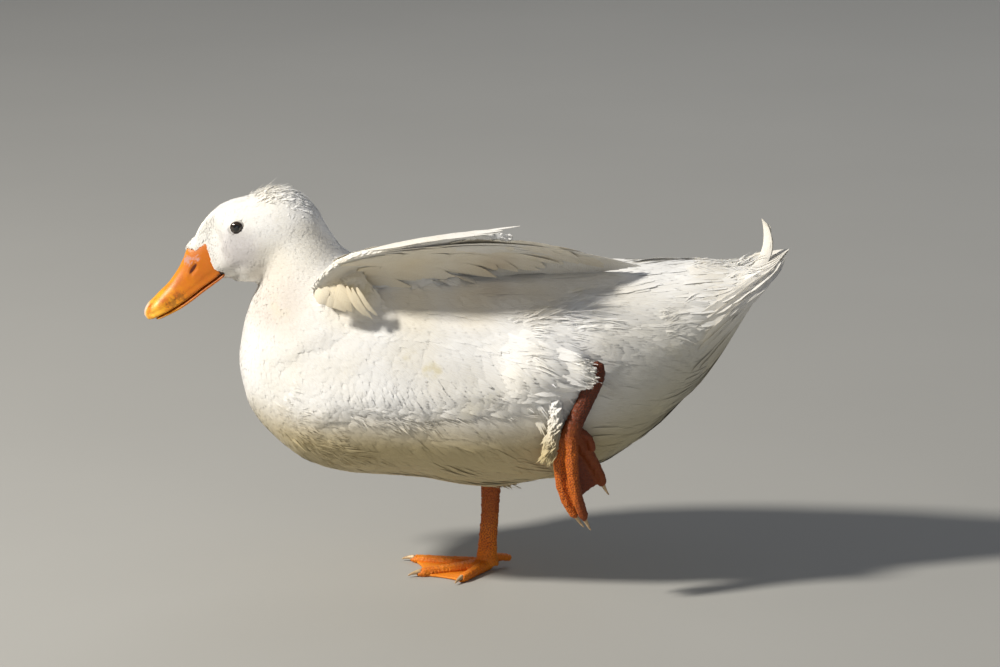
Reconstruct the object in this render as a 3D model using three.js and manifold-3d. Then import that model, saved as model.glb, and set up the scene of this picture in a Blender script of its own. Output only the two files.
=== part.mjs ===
// A white domestic duck, a drake, standing on its right foot. Millimetres, +Z up, facing -X.
// The origin is on the floor under the toe joint of the standing foot.
import * as THREE from "three";
import { mergeVertices } from "three/addons/utils/BufferGeometryUtils.js";
import Module from "manifold-3d";

const wasm = await Module();
wasm.setup();

const V = (x, y, z) => new THREE.Vector3(x, y, z);
const radians = THREE.MathUtils.degToRad;

// ---- Driving dimensions ----
const midplane = -20; // Y of the plane the body is symmetric about
const gap = 0.3; // clearance between neighbouring solids
const eyeRadius = 6.6;
const eyeCentre = V(-207.5, 19.6, 306.5); // the side of the head is +-Y of the midplane
const gape = V(-221, midplane, 263.1); // corner of the mouth, where the bill's own axis starts
const billSlope = radians(28.4); // how far the bill points below level
const billLength = 73;
const webThickness = 1.6;
const webSunk = 0.3; // how much of the standing webs the sole's flat takes off
const tarsusHeight = 68;
const soleLevel = 0;

// ---- Profiles ----
// A smooth curve with no overshoot through [position, value] pairs.
function curve(...knots) {
  const slopes = knots.slice(1).map((k, i) => (k[1] - knots[i][1]) / (k[0] - knots[i][0]));
  const last = slopes.length - 1;
  const tangents = knots.map((_, i) => {
    const before = slopes[Math.max(i - 1, 0)];
    const after = slopes[Math.min(i, last)];
    return before * after <= 0 ? 0 : (2 * before * after) / (before + after);
  });
  return (at) => {
    let i = 0;
    while (i < last && at > knots[i + 1][0]) i++;
    const width = knots[i + 1][0] - knots[i][0];
    const t = THREE.MathUtils.clamp((at - knots[i][0]) / width, 0, 1);
    const s = 1 - t;
    const start = knots[i][1] * (1 + 2 * t) + tangents[i] * width * t;
    const end = knots[i + 1][1] * (1 + 2 * s) - tangents[i + 1] * width * s;
    return start * s * s + end * t * t;
  };
}

// Evenly spaced values, or ones that crowd towards both ends.
function spread(from, to, count, crowd = false) {
  return Array.from({ length: count }, (_, i) => {
    const t = i / (count - 1);
    return from + (to - from) * (crowd ? (1 - Math.cos(Math.PI * t)) / 2 : t);
  });
}

// ---- Solids ----
function solidFrom(position, index) {
  const geometry = new THREE.BufferGeometry();
  geometry.setAttribute("position", new THREE.Float32BufferAttribute(position, 3));
  geometry.setIndex(index);
  const merged = mergeVertices(geometry, 1e-4);
  const make = (order) =>
    new wasm.Manifold(
      new wasm.Mesh({
        numProp: 3,
        vertProperties: merged.attributes.position.array,
        triVerts: new Uint32Array(order),
      }),
    );
  const made = make(merged.index.array);
  return made.volume() > 0 ? made : make(Array.from(merged.index.array).reverse());
}

// A closed skin through rings that have the same number of points, capped by fans.
function loft(rings) {
  const around = rings[0].length;
  const position = rings.flat().flatMap((p) => p.toArray());
  const index = [];
  for (let r = 0; r < rings.length - 1; r++) {
    for (let i = 0; i < around; i++) {
      const a = r * around + i;
      const b = r * around + ((i + 1) % around);
      index.push(a, b, a + around, b, b + around, a + around);
    }
  }
  [rings[0], rings[rings.length - 1]].forEach((ring, end) => {
    const centre = ring.reduce((sum, p) => sum.add(p), V(0, 0, 0)).divideScalar(around);
    const hub = position.length / 3;
    const first = end * (rings.length - 1) * around;
    position.push(...centre.toArray());
    for (let i = 0; i < around; i++) {
      const a = first + i;
      const b = first + ((i + 1) % around);
      index.push(hub, ...(end ? [a, b] : [b, a]));
    }
  });
  return solidFrom(position, index);
}

// An egg-shaped outline: half as wide as `half`, `up` above its centre and `down` below it.
function oval(centre, side, rise, half, up, down, count, power = 1) {
  return Array.from({ length: count }, (_, i) => {
    const turn = (2 * Math.PI * i) / count;
    const c = Math.cos(turn);
    const s = Math.sin(turn);
    const across = half * Math.sign(c) * Math.abs(c) ** power;
    const height = (s > 0 ? up : down) * Math.sign(s) * Math.abs(s) ** power;
    return centre.clone().addScaledVector(side, across).addScaledVector(rise, height);
  });
}

// A limb: ovals square to a smooth path. sizes(t) gives [half width, half height] at t in 0..1.
function limb(points, sizes, steps, count, sideHint, power = 1) {
  const path = new THREE.CatmullRomCurve3(points, false, "centripetal");
  return loft(
    spread(0, 1, steps, true).map((t) => {
      const ahead = path.getTangent(t);
      const side = sideHint.clone().addScaledVector(ahead, -sideHint.dot(ahead)).normalize();
      const rise = ahead.clone().cross(side);
      const [half, tall] = sizes(t);
      return oval(path.getPoint(t), side, rise, half, tall, tall, count, power);
    }),
  );
}

const alongX = V(1, 0, 0);
const alongY = V(0, 1, 0);
const alongZ = V(0, 0, 1);

// What lies on the side of the plane its normal points to, half a gap clear of it.
function keep(solid, point, normal) {
  const n = normal.clone().normalize();
  return solid.trimByPlane(n.toArray(), n.dot(point) + gap / 2);
}

// ---- Trunk and tail ----
const bodyTop = curve(
  [-206, 197], [-200, 222], [-190, 238], [-175, 251], [-150, 264], [-115, 271], [-60, 272], [0, 268],
  [80, 266], [144, 269], [180, 273], [204, 269], [225, 272], [240, 277.5], [251, 281.5],
);
const bodyBottom = curve(
  [-206, 184], [-200, 158], [-190, 139.5], [-175, 122.5], [-150, 104], [-115, 94.5], [-60, 92], [-8, 83],
  [15, 83], [40, 87.5], [80, 97], [111, 110], [144, 139], [170, 162], [190, 190], [204, 214], [225, 250],
  [240, 266], [251, 279.5],
);
const bodyHalf = curve(
  [-206, 8], [-200, 31], [-190, 44], [-175, 56], [-150, 69], [-115, 79], [-60, 85], [0, 86], [40, 84],
  [80, 77], [111, 69], [144, 59], [170, 52], [190, 48], [204, 46], [225, 38], [240, 25], [251, 6],
);
const bodyWidest = curve(
  [-206, 190], [-115, 178], [0, 170], [80, 178], [144, 206], [190, 236], [225, 262], [251, 280.5],
);
const bodyPower = 0.93;

function bodyRing(x, extra, count) {
  const level = bodyWidest(x);
  return oval(
    V(x, midplane, level), alongY, alongZ,
    bodyHalf(x) + extra, bodyTop(x) - level + extra, level - bodyBottom(x) + extra,
    count, bodyPower,
  );
}

const bodyFront = -206;
const bodyBack = 251;
const body = (extra) =>
  loft(spread(bodyFront - extra, bodyBack + extra, 24, true).map((x) => bodyRing(x, extra, 22)));

// ---- Neck: ovals stretched between the front and the back of the neck ----
const neckFrontX = curve(
  [0, -205.3], [1, -205], [2, -201.5], [3, -196], [4, -190.3], [5, -189], [6, -194], [7, -200],
);
const neckFrontZ = curve([0, 186], [1, 205], [2, 224], [3, 240], [4, 250], [5, 259], [6, 270], [7, 286]);
const neckBackX = curve([0, -62], [1, -92], [2, -110], [3, -120], [4, -126], [5, -131], [6, -139], [7, -152]);
const neckBackZ = curve([0, 258], [1, 270], [2, 277], [3, 283], [4, 291], [5, 300], [6, 310], [7, 317]);
const neckHalf = curve([0, 70], [1, 60], [2, 50], [3, 42.5], [4, 37.5], [5, 34], [6, 30], [7, 24]);
const neck = (extra) =>
  loft(
    spread(0, 7, 8).map((t) => {
      const front = V(neckFrontX(t), midplane, neckFrontZ(t));
      const back = V(neckBackX(t), midplane, neckBackZ(t));
      const centre = front.clone().lerp(back, 0.5);
      const reach = front.distanceTo(back) / 2 + extra;
      const rise = back.clone().sub(front).normalize();
      return oval(centre, alongY, rise, neckHalf(t) + extra, reach, reach, 22);
    }),
  );

// ---- Head ----
const headTop = curve(
  [-241, 296], [-238, 302], [-232, 310.5], [-222, 320.5], [-208, 326.5], [-196, 329], [-187, 332.5],
  [-178, 335.5], [-165, 334.5], [-152, 327.5], [-142, 318.5], [-136, 308], [-133, 300],
);
const headBottom = curve(
  [-241, 270], [-238, 265], [-232, 260.5], [-222, 257.5], [-196, 256], [-178, 257], [-152, 266],
  [-142, 274], [-133, 290],
);
const headHalf = curve(
  [-241, 11], [-238, 14.5], [-232, 18.5], [-222, 22.5], [-208, 26], [-187, 29], [-165, 29], [-152, 27],
  [-142, 22], [-136, 15], [-133, 8],
);
const headWidest = curve([-241, 282], [-222, 287], [-196, 290], [-165, 296], [-133, 296]);
const headLoft = loft(
  spread(-241, -133, 15, true).map((x) => {
    const level = headWidest(x);
    const up = headTop(x) - level;
    return oval(V(x, midplane, level), alongY, alongZ, headHalf(x), up, level - headBottom(x), 18, 0.97);
  }),
);

// ---- Bill: lofted along its own axis, from inside the face to the nail ----
const billAhead = V(-Math.cos(billSlope), 0, -Math.sin(billSlope));
const billRise = V(-Math.sin(billSlope), 0, Math.cos(billSlope));
const culmen = curve(
  [-7, 38], [2, 36.6], [12.4, 33], [22, 25.4], [32, 18.6], [44, 13], [57, 9], [67, 5.2], [71.5, 2],
  [73, -0.8],
);
const lip = curve([-7, 1.5], [3, 0], [19, -2.5], [34, -5.2], [47, -6.3], [62, -6.4], [71, -5.6], [73, -3.2]);
const billHalf = curve(
  [-7, 13.5], [0, 14], [15, 13], [30, 12], [45, 12.6], [57, 14], [64, 13.2], [69, 9.8], [72, 6], [73, 3],
);
const billPower = curve([-7, 1.2], [20, 1.1], [45, 0.85], [73, 0.8]);
const onBill = (along, height) =>
  gape.clone().addScaledVector(billAhead, along).addScaledVector(billRise, height);
const upperBill = (extra) =>
  loft(
    spread(-7 - extra, billLength + extra, 13).map((s) => {
      const rim = lip(s) + 2.2;
      return oval(
        onBill(s, rim), alongY, billRise, billHalf(s) + extra, culmen(s) - rim + extra, 2.2 + extra,
        16, billPower(s),
      );
    }),
  );
const jawDepth = curve([-5, 1.5], [4, 1.9], [40, 1.8], [60, 1.2], [66, 0.7]);
const lowerBill = (extra) =>
  loft(
    spread(-5 - extra, 66 + extra, 9).map((s) => {
      const deep = jawDepth(s) + extra;
      return oval(
        onBill(s, lip(s) - gap - jawDepth(s)), alongY, billRise,
        billHalf(s) - 2.4 + extra, deep, deep, 10, 0.9,
      );
    }),
  );

// ---- Eyes ----
function eyeball(side, extra) {
  const centre = V(eyeCentre.x, midplane + side * eyeCentre.y, eyeCentre.z);
  const rows = spread(0.22, Math.PI - 0.22, 6);
  const radius = eyeRadius + extra;
  return loft(
    rows.map((lean) => {
      const around = radius * Math.sin(lean);
      const at = centre.clone().addScaledVector(alongY, side * radius * Math.cos(lean));
      return oval(at, alongX, alongZ, around, around, around, 12);
    }),
  );
}

// ---- Left wing, half opened: a blade that slopes down from its leading edge towards the back ----
const edgeY = curve(
  [-144, -97], [-130, -103], [-97, -109], [-50, -114], [0, -108], [43, -90], [92, -64], [127, -44],
);
const edgeZ = curve(
  [-144, 268], [-140, 276], [-130, 286], [-117, 296], [-97, 302], [-50, 312], [-10, 317], [20, 312],
  [43, 306], [92, 289], [127, 276],
);
const wingChord = curve(
  [-144, 14], [-138, 34], [-125, 54], [-95, 74], [-40, 84], [20, 74], [70, 52], [110, 28], [127, 5],
);
const wingTilt = curve([-144, 52], [-100, 44], [-30, 40], [60, 36], [127, 28]);
const wingEdge = curve([-144, 3], [-138, 5.5], [-120, 7], [-50, 6], [10, 3.4], [60, 1.6], [127, 0.8]);
const wingCamber = curve([-144, 1], [-110, 6], [0, 7], [70, 4], [127, 0.5]);
const wingWebHalf = 0.8; // half the thickness of the blade's thin side

function bladeRing(x, extra) {
  const tilt = radians(wingTilt(x));
  const inward = V(0, Math.cos(tilt), -Math.sin(tilt));
  const upward = V(0, Math.sin(tilt), Math.cos(tilt));
  const nose = V(x, edgeY(x), edgeZ(x));
  return Array.from({ length: 14 }, (_, i) => {
    const turn = (2 * Math.PI * i) / 14;
    const along = (1 - Math.cos(turn)) / 2;
    const thick = wingWebHalf + wingEdge(x) * Math.sqrt(Math.min(along / 0.08, 1)) * (1 - along) ** 2.2;
    const bow = wingCamber(x) * Math.sin(Math.PI * along);
    const face = Math.sin(turn) * Math.min(1, 1.6 / (Math.abs(Math.sin(turn)) + 0.6));
    return nose
      .clone()
      .addScaledVector(inward, along * wingChord(x) + extra * (2 * along - 1))
      .addScaledVector(upward, bow + face * (thick + extra));
  });
}
const blade = (extra) => loft(spread(-144 - extra, 127 + extra, 18, true).map((x) => bladeRing(x, extra)));
const edgePoints = [-150, -128, -95, -55, -15, 22].map((x) => V(x, edgeY(x) + 3, edgeZ(x) - 1));
const wristRoll = (extra) => limb(edgePoints, (t) => [12 - 6 * t + extra, 12 - 6 * t + extra], 9, 10, alongY);

const shoulder = [V(-96, -58, 228), V(-101, -72, 246), V(-107, -83, 263), V(-111, -88, 276)];
const upperArm = (extra) => limb(shoulder, (t) => [21 - 12 * t + extra, 15 - 8 * t + extra], 7, 12, alongX);

const covertTips = limb(
  [V(-70, -113, 313), V(-30, -114, 319), V(-4, -112, 322), V(14, -109, 321)],
  (t) => [7.5 * (1 - t) + 0.8, 1.3 * (1 - t) + 0.6], 7, 8, alongY,
);

// ---- Right wing, folded: a band that wraps the far side of the trunk ----
const foldTop = curve([-158, 30], [-120, 62], [0, 74], [100, 78], [150, 74], [172, 66]);
const foldLow = curve([-158, 8], [-120, -12], [-40, -22], [40, -4], [100, 26], [150, 52], [172, 62]);
const foldOut = curve([-158, 3], [-135, 12], [-60, 12], [60, 8], [120, 5], [172, 1.6]);
const rightWing = loft(
  spread(-158, 172, 16, true).map((x) => {
    const level = bodyWidest(x);
    const shell = (degrees, out) => {
      const c = Math.cos(radians(degrees));
      const s = Math.sin(radians(degrees));
      const tall = s > 0 ? bodyTop(x) - level : level - bodyBottom(x);
      const half = bodyHalf(x);
      return V(
        x,
        midplane + (half + out) * Math.sign(c) * Math.abs(c) ** bodyPower,
        level + (tall + out) * Math.sign(s) * Math.abs(s) ** bodyPower,
      );
    };
    const turns = spread(foldLow(x), foldTop(x), 7);
    const inner = turns.map((a) => shell(a, -4));
    const outer = turns.map((a, i) => shell(a, 1.6 + foldOut(x) * Math.sin((Math.PI * (i + 0.6)) / 7.2)));
    return [...outer, ...inner.reverse()];
  }),
);

// ---- Tail curl: the drake's upturned feather ----
const tailCurl = limb(
  [
    V(206, midplane, 266), V(222, midplane, 274), V(233, midplane, 287), V(232, midplane, 299),
    V(227, midplane, 308),
  ],
  (t) => [9 * (1 - t) ** 0.7 + 0.9, 3.2 * (1 - t) + 0.8], 9, 8, alongY,
);

// ---- Left thigh and raised leg ----
const thighSize = (t) => {
  const round = Math.sin(Math.PI * THREE.MathUtils.clamp(t, 0.012, 0.988)) ** 0.62;
  return [27 * round, 41 * round];
};
const leftThigh = (extra) =>
  limb(
    [V(-20 - extra, -80, 196), V(38, -84, 191), V(93 + extra, -88, 186)],
    (t) => thighSize(t).map((r) => r + extra), 10, 14, alongY,
  );
const leftTarsus = limb(
  [V(91, -106, 209), V(90, -106, 200), V(80, -106, 174), V(70, -106, 152), V(67, -106, 143)],
  (t) => {
    const ends = Math.abs(t - 0.55) * 3.2;
    const taper = Math.min(1, t / 0.04 + 0.35);
    return [(5.4 + ends) * taper, (6.8 + ends) * taper];
  },
  9, 12, alongY,
);

// ---- Toes and webs ----
// One toe tapers from its root to its end, with a swelling at each joint.
function toe(points, rootRadius, endRadius, flat, sideHint) {
  return limb(
    points,
    (t) => {
      const knuckle = 0.5 * Math.cos(t * Math.PI * 5) ** 2;
      const close = Math.min(1, (1 - t) / 0.06 + 0.45);
      const radius = (rootRadius + (endRadius - rootRadius) * t + knuckle) * close;
      return [radius, radius * flat];
    },
    7, 8, sideHint,
  );
}

function claw(points, radius, extra) {
  const sizes = (t) => [radius * (1 - 0.8 * t) + extra, radius * 1.15 * (1 - 0.78 * t) + extra];
  return limb(points, sizes, 4, 6, V(0.3, 1, 0));
}

// A thin web between two toe paths, hollowed at its free edge.
function web(near, far, up, scoop) {
  const a = new THREE.CatmullRomCurve3(near);
  const b = new THREE.CatmullRomCurve3(far);
  return loft(
    spread(0, 1, 4).map((across) => {
      const reach = 1 - scoop * Math.sin(Math.PI * across);
      const line = spread(0, reach, 4).map((t) => a.getPoint(t).lerp(b.getPoint(t), across));
      const above = line.map((p) => p.clone().addScaledVector(up, webThickness));
      return [...line, ...above.reverse()];
    }),
  );
}

// The standing foot: headings are turned from straight ahead towards the midplane.
const standingToes = {
  outer: { heading: -19, length: 69, root: 6.4, end: 4.2 },
  middle: { heading: 20, length: 63, root: 6.6, end: 4.4 },
  inner: { heading: 60, length: 46, root: 6, end: 4 },
};
function floorPath({ heading, length }, level) {
  const way = V(-Math.cos(radians(heading)), -Math.sin(radians(heading)), 0);
  return [0, 0.33, 0.66, 1].map((t) => way.clone().multiplyScalar(length * t).setZ(level(t)));
}
const toeLevel = (t) => 4.8 - 2.1 * t;
const rightToes = Object.values(standingToes).map((spec) =>
  toe(floorPath(spec, toeLevel), spec.root, spec.end, 0.85, V(0.3, 1, 0)),
);
const webLine = (spec) => floorPath({ heading: spec.heading, length: spec.length * 0.93 }, () => -webSunk);
const rightWebs = [
  web(webLine(standingToes.outer), webLine(standingToes.middle), alongZ, 0.16),
  web(webLine(standingToes.middle), webLine(standingToes.inner), alongZ, 0.14),
];
const rightHallux = toe([V(4, 3, 9), V(12, 7, 9), V(20, 11, 6.5)], 4.2, 2.6, 1, alongY);
const rightTarsus = limb(
  [V(0, 0, 4), V(0, 0, 18), V(2, 0, 45), V(3, -1, 70), V(4, -2, tarsusHeight + 32)],
  (t) => {
    const ends = 2.6 * Math.abs(2 * t - 1) ** 2;
    return [4.9 + ends, 7.4 + ends];
  },
  9, 12, alongY,
);
const rightLeg = rightToes
  .concat(rightWebs, [rightHallux, rightTarsus])
  .reduce((sum, piece) => sum.add(piece))
  .trimByPlane([0, 0, 1], soleLevel);

function floorClaw({ heading, length }, extra) {
  const way = V(-Math.cos(radians(heading)), -Math.sin(radians(heading)), 0);
  const at = (out, height) => way.clone().multiplyScalar(length + out).setZ(height);
  return claw([at(-4 - extra, 4), at(0, 4.2), at(4, 3.5), at(8, 1.8)], 2.6, extra);
}

// The raised foot hangs with its toes together.
const hangingToes = {
  outer: [V(69, -107, 144), V(70, -110, 118), V(73.5, -110, 97), V(81, -107, 74)],
  middle: [V(63, -104, 144), V(60, -101, 114), V(64, -100, 93), V(74, -99, 74)],
  inner: [V(72, -100, 144), V(85, -92, 124), V(92, -88, 109), V(96, -86, 98)],
};
const leftToes = Object.values(hangingToes).map((points) => toe(points, 6.2, 4, 0.95, alongY));
const shortened = (points) => {
  const path = new THREE.CatmullRomCurve3(points);
  return [0, 0.3, 0.6, 0.9].map((t) => path.getPoint(t));
};
const leftWebs = [
  web(shortened(hangingToes.outer), shortened(hangingToes.middle), V(1, 0, 0.2).normalize(), 0.1),
  web(shortened(hangingToes.middle), shortened(hangingToes.inner), V(0.6, -0.8, 0).normalize(), 0.12),
];
const leftHallux = toe([V(74, -103, 150), V(84, -101, 142), V(87, -99, 131)], 4, 2.5, 1, alongY);
const leftLeg = leftToes
  .concat(leftWebs, [leftHallux, leftTarsus])
  .reduce((sum, piece) => sum.add(piece));

function hangingClaw(points, extra) {
  const end = points[points.length - 1];
  const way = end.clone().sub(points[points.length - 2]).normalize();
  const at = (out, back) => end.clone().addScaledVector(way, out).add(V(back, 0, 0));
  return claw([at(-4 - extra, 0), at(0, 0), at(5, 0.6), at(9, 1.8)], 2.4, extra);
}

// ---- Parting: whole shapes are joined, then cut into their nodes ----
const throat = V(-190, midplane, 255.5);
const headCut = V(-46.5, 0, 57); // square to the line from the throat to the nape
const breastTop = V(-205.5, midplane, 204);
const neckCut = V(-72, 0, 86);
const tailRoot = V(196, midplane, 240);
const tailCut = V(1, 0, 0.35);
const ankle = V(0, 0, 15);
const knuckleCut = V(-0.37, 0, 0.93);
const raisedAnkle = V(67, -106, 149);

const nodes = {};
const bothEyes = eyeball(1, gap).add(eyeball(-1, gap));
const whole = body(0).add(neck(0)).add(headLoft);
const bodyClear = body(gap).add(neck(gap));
nodes.head = keep(whole, throat, headCut)
  .subtract(bothEyes)
  .subtract(upperBill(gap))
  .subtract(lowerBill(gap));
const underHead = keep(whole, throat, headCut.clone().negate());
nodes.neck = keep(underHead, breastTop, neckCut).subtract(upperArm(gap));
const underNeck = keep(underHead, breastTop, neckCut.clone().negate());
nodes.bill_upper = upperBill(0);
nodes.bill_lower = lowerBill(0).subtract(upperBill(gap * 0.8));
nodes.eye_left = eyeball(-1, 0);
nodes.eye_right = eyeball(1, 0);
nodes.tail = keep(underNeck, tailRoot, tailCut);
nodes.tail_curl = tailCurl.subtract(body(gap));
nodes.thigh_left = leftThigh(0);
nodes.trunk = keep(underNeck, tailRoot, tailCut.clone().negate())
  .subtract(leftThigh(gap))
  .subtract(upperArm(gap));

const trimmedBlade = blade(0).subtract(bodyClear);
const primaryRoot = V(18, -90, 300);
const primaryCut = V(1, 0.5, 0);
const innerBlade = keep(trimmedBlade, primaryRoot, primaryCut.clone().negate());
nodes.wing_left_primaries = keep(trimmedBlade, primaryRoot, primaryCut);
nodes.wing_left_hand = innerBlade.intersect(wristRoll(0));
nodes.wing_left_secondaries = innerBlade.subtract(wristRoll(gap));
nodes.wing_left_arm = upperArm(0).subtract(blade(gap));
nodes.wing_left_coverts = covertTips.subtract(blade(gap));
nodes.wing_right = rightWing.subtract(bodyClear);

const shankClear = body(gap).add(leftThigh(gap));
nodes.shank_left = keep(leftLeg, raisedAnkle, knuckleCut).subtract(shankClear);
nodes.foot_left = keep(leftLeg, raisedAnkle, knuckleCut.clone().negate()).subtract(shankClear);
nodes.shank_right = keep(rightLeg, ankle, alongZ);
nodes.foot_right = keep(rightLeg, ankle, alongZ.clone().negate());
nodes.trunk = nodes.trunk.subtract(
  limb(
    [V(0, 0, 60), V(2, 0, 75), V(3, -1, 85), V(4, -2, tarsusHeight + 32.4)],
    () => [8.2, 10.6], 4, 12, alongY,
  ),
);

for (const [toeName, spec] of Object.entries(standingToes)) {
  nodes[`claw_right_${toeName}`] = floorClaw(spec, 0).trimByPlane([0, 0, 1], soleLevel);
  nodes.foot_right = nodes.foot_right.subtract(floorClaw(spec, gap));
}
for (const [toeName, points] of Object.entries(hangingToes)) {
  nodes[`claw_left_${toeName}`] = hangingClaw(points, 0);
  nodes.foot_left = nodes.foot_left.subtract(hangingClaw(points, gap));
}

// ---- Materials and the group ----
const finishes = {
  plumage: { color: 0xf3efe4, roughness: 0.85, metalness: 0 },
  flight_feathers: { color: 0xf7f4ea, roughness: 0.7, metalness: 0 },
  bill: { color: 0xe58a1c, roughness: 0.45, metalness: 0 },
  eye: { color: 0x1a120c, roughness: 0.08, metalness: 0 },
  leg_skin: { color: 0xd4641c, roughness: 0.6, metalness: 0 },
  claw: { color: 0xd9c6a2, roughness: 0.5, metalness: 0 },
};
const finishOf = (name) => {
  if (name.startsWith("bill")) return "bill";
  if (name.startsWith("eye")) return "eye";
  if (name.startsWith("shank") || name.startsWith("foot")) return "leg_skin";
  if (name.startsWith("claw")) return "claw";
  if (/primaries|secondaries|coverts|^tail|^wing_right/.test(name)) return "flight_feathers";
  return "plumage";
};

const duck = new THREE.Group();
for (const [name, solid] of Object.entries(nodes)) {
  const mesh = solid.getMesh();
  const geometry = new THREE.BufferGeometry();
  const position = new THREE.Float32BufferAttribute(mesh.vertProperties, mesh.numProp);
  geometry.setAttribute("position", position);
  geometry.setIndex(new THREE.BufferAttribute(mesh.triVerts, 1));
  geometry.computeVertexNormals();
  const made = new THREE.Mesh(geometry, new THREE.MeshStandardMaterial(finishes[finishOf(name)]));
  made.name = name;
  duck.add(made);
}
export default duck;
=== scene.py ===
import bpy
import bmesh
import math
import numpy as np
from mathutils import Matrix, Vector
from mathutils.bvhtree import BVHTree
from mathutils.kdtree import KDTree


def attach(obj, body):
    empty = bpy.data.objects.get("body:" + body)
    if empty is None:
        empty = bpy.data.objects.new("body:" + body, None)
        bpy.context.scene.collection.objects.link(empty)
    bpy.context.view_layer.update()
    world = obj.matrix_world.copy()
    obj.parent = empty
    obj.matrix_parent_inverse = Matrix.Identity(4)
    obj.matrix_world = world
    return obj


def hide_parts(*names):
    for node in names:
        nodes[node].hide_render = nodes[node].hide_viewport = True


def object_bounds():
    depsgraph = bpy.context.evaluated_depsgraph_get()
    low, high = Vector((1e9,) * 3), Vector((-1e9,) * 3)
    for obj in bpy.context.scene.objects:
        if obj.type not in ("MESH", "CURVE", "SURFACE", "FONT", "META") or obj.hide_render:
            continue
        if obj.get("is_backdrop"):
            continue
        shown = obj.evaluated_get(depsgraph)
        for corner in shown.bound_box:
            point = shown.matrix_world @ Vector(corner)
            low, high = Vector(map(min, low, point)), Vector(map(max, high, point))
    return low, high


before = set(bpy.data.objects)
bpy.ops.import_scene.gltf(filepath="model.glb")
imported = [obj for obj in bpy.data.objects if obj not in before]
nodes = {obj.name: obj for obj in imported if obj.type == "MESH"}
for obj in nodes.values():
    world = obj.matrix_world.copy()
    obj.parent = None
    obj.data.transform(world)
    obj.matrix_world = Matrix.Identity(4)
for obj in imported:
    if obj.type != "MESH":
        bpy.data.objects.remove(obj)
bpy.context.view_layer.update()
midY = -0.020  # the plane that the duck is symmetric about
mm = 0.001


# small helpers

def curve(*knots):
    # a smooth curve through (place, value) pairs with no overshoot, as the solids use
    xs = np.array([k[0] for k in knots], float)
    ys = np.array([k[1] for k in knots], float)
    slope = np.diff(ys) / np.diff(xs)
    before = np.r_[slope[0], slope]
    after = np.r_[slope, slope[-1]]
    product = before * after
    total = np.where(np.abs(before + after) > 1e-12, before + after, 1)
    tangent = np.where(product > 0, 2 * product / total, 0)

    def at(x):
        x = np.asarray(x, float)
        i = np.clip(np.searchsorted(xs, x, side="right") - 1, 0, len(xs) - 2)
        h = xs[i + 1] - xs[i]
        t = np.clip((x - xs[i]) / h, 0, 1)
        s = 1 - t
        start = ys[i] * (1 + 2 * t) + tangent[i] * h * t
        end = ys[i + 1] * (1 + 2 * s) - tangent[i + 1] * h * s
        return start * s * s + end * t * t
    return at


def ease(low, high, x):
    t = np.clip((np.asarray(x, float) - low) / (high - low), 0, 1)
    return t * t * (3 - 2 * t)


def unit(v):
    return v / np.maximum(np.linalg.norm(v, axis=-1, keepdims=True), 1e-12)


def wave(p, scale, seed):
    # a smooth field between about -1 and 1
    rng = np.random.default_rng(seed)
    total = np.zeros(p.shape[:-1])
    for _ in range(6):
        way = unit(rng.normal(size=3)) * (0.6 + 0.8 * rng.random()) * 2 * math.pi / scale
        total = total + np.sin(p @ way + rng.random() * 6.28)
    return total / 3.4


def linked(name, data):
    obj = bpy.data.objects.new(name, data)
    bpy.context.scene.collection.objects.link(obj)
    return obj


def activate(obj):
    if bpy.context.object and bpy.context.object.mode != "OBJECT":
        bpy.ops.object.mode_set(mode="OBJECT")
    bpy.ops.object.select_all(action="DESELECT")
    if obj:
        obj.select_set(True)
        bpy.context.view_layer.objects.active = obj


def applyModifier(obj, kind, **settings):
    activate(obj)
    modifier = obj.modifiers.new(kind.lower(), kind)
    for key, value in settings.items():
        setattr(modifier, key, value)
    bpy.ops.object.modifier_apply(modifier=modifier.name)


def meshPiece(name, points, faces, normals=None, maps=None):
    mesh = bpy.data.meshes.new(name)
    mesh.vertices.add(len(points))
    mesh.vertices.foreach_set("co", np.asarray(points, np.float32).ravel())
    sides = faces.shape[1]
    mesh.loops.add(faces.size)
    mesh.loops.foreach_set("vertex_index", faces.astype(np.int32).ravel())
    mesh.polygons.add(len(faces))
    mesh.polygons.foreach_set("loop_start", np.arange(0, faces.size, sides, dtype=np.int32))
    mesh.polygons.foreach_set("use_smooth", np.ones(len(faces), bool))
    mesh.update(calc_edges=True)
    for mapName, uv in (maps or {}).items():
        layer = mesh.uv_layers.new(name=mapName)
        layer.data.foreach_set("uv", uv[faces.ravel()].astype(np.float32).ravel())
    if normals is not None:
        mesh.normals_split_custom_set_from_vertices(normals.astype(np.float32))
    return linked(name, mesh)


def meshArrays(obj):
    mesh = obj.data
    co = np.empty(len(mesh.vertices) * 3, np.float32)
    no = np.empty(len(mesh.vertices) * 3, np.float32)
    mesh.vertices.foreach_get("co", co)
    mesh.vertices.foreach_get("normal", no)
    return co.reshape(-1, 3).astype(float), no.reshape(-1, 3).astype(float)


def moveVertices(obj, co):
    obj.data.vertices.foreach_set("co", np.asarray(co, np.float32).ravel())
    obj.data.update()


def mergedCopy(name, nodeNames, swell):
    # one mesh out of copies of CAD nodes, each grown a little so that they meet
    whole = bmesh.new()
    for nodeName in nodeNames:
        part = bmesh.new()
        part.from_mesh(nodes[nodeName].data)
        bmesh.ops.remove_doubles(part, verts=part.verts, dist=1e-5)
        part.normal_update()
        for v in part.verts:
            v.co += v.normal * swell
        step = bpy.data.meshes.new("step")
        part.to_mesh(step)
        part.free()
        whole.from_mesh(step)
        bpy.data.meshes.remove(step)
    mesh = bpy.data.meshes.new(name)
    whole.to_mesh(mesh)
    whole.free()
    return linked(name, mesh)


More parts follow.
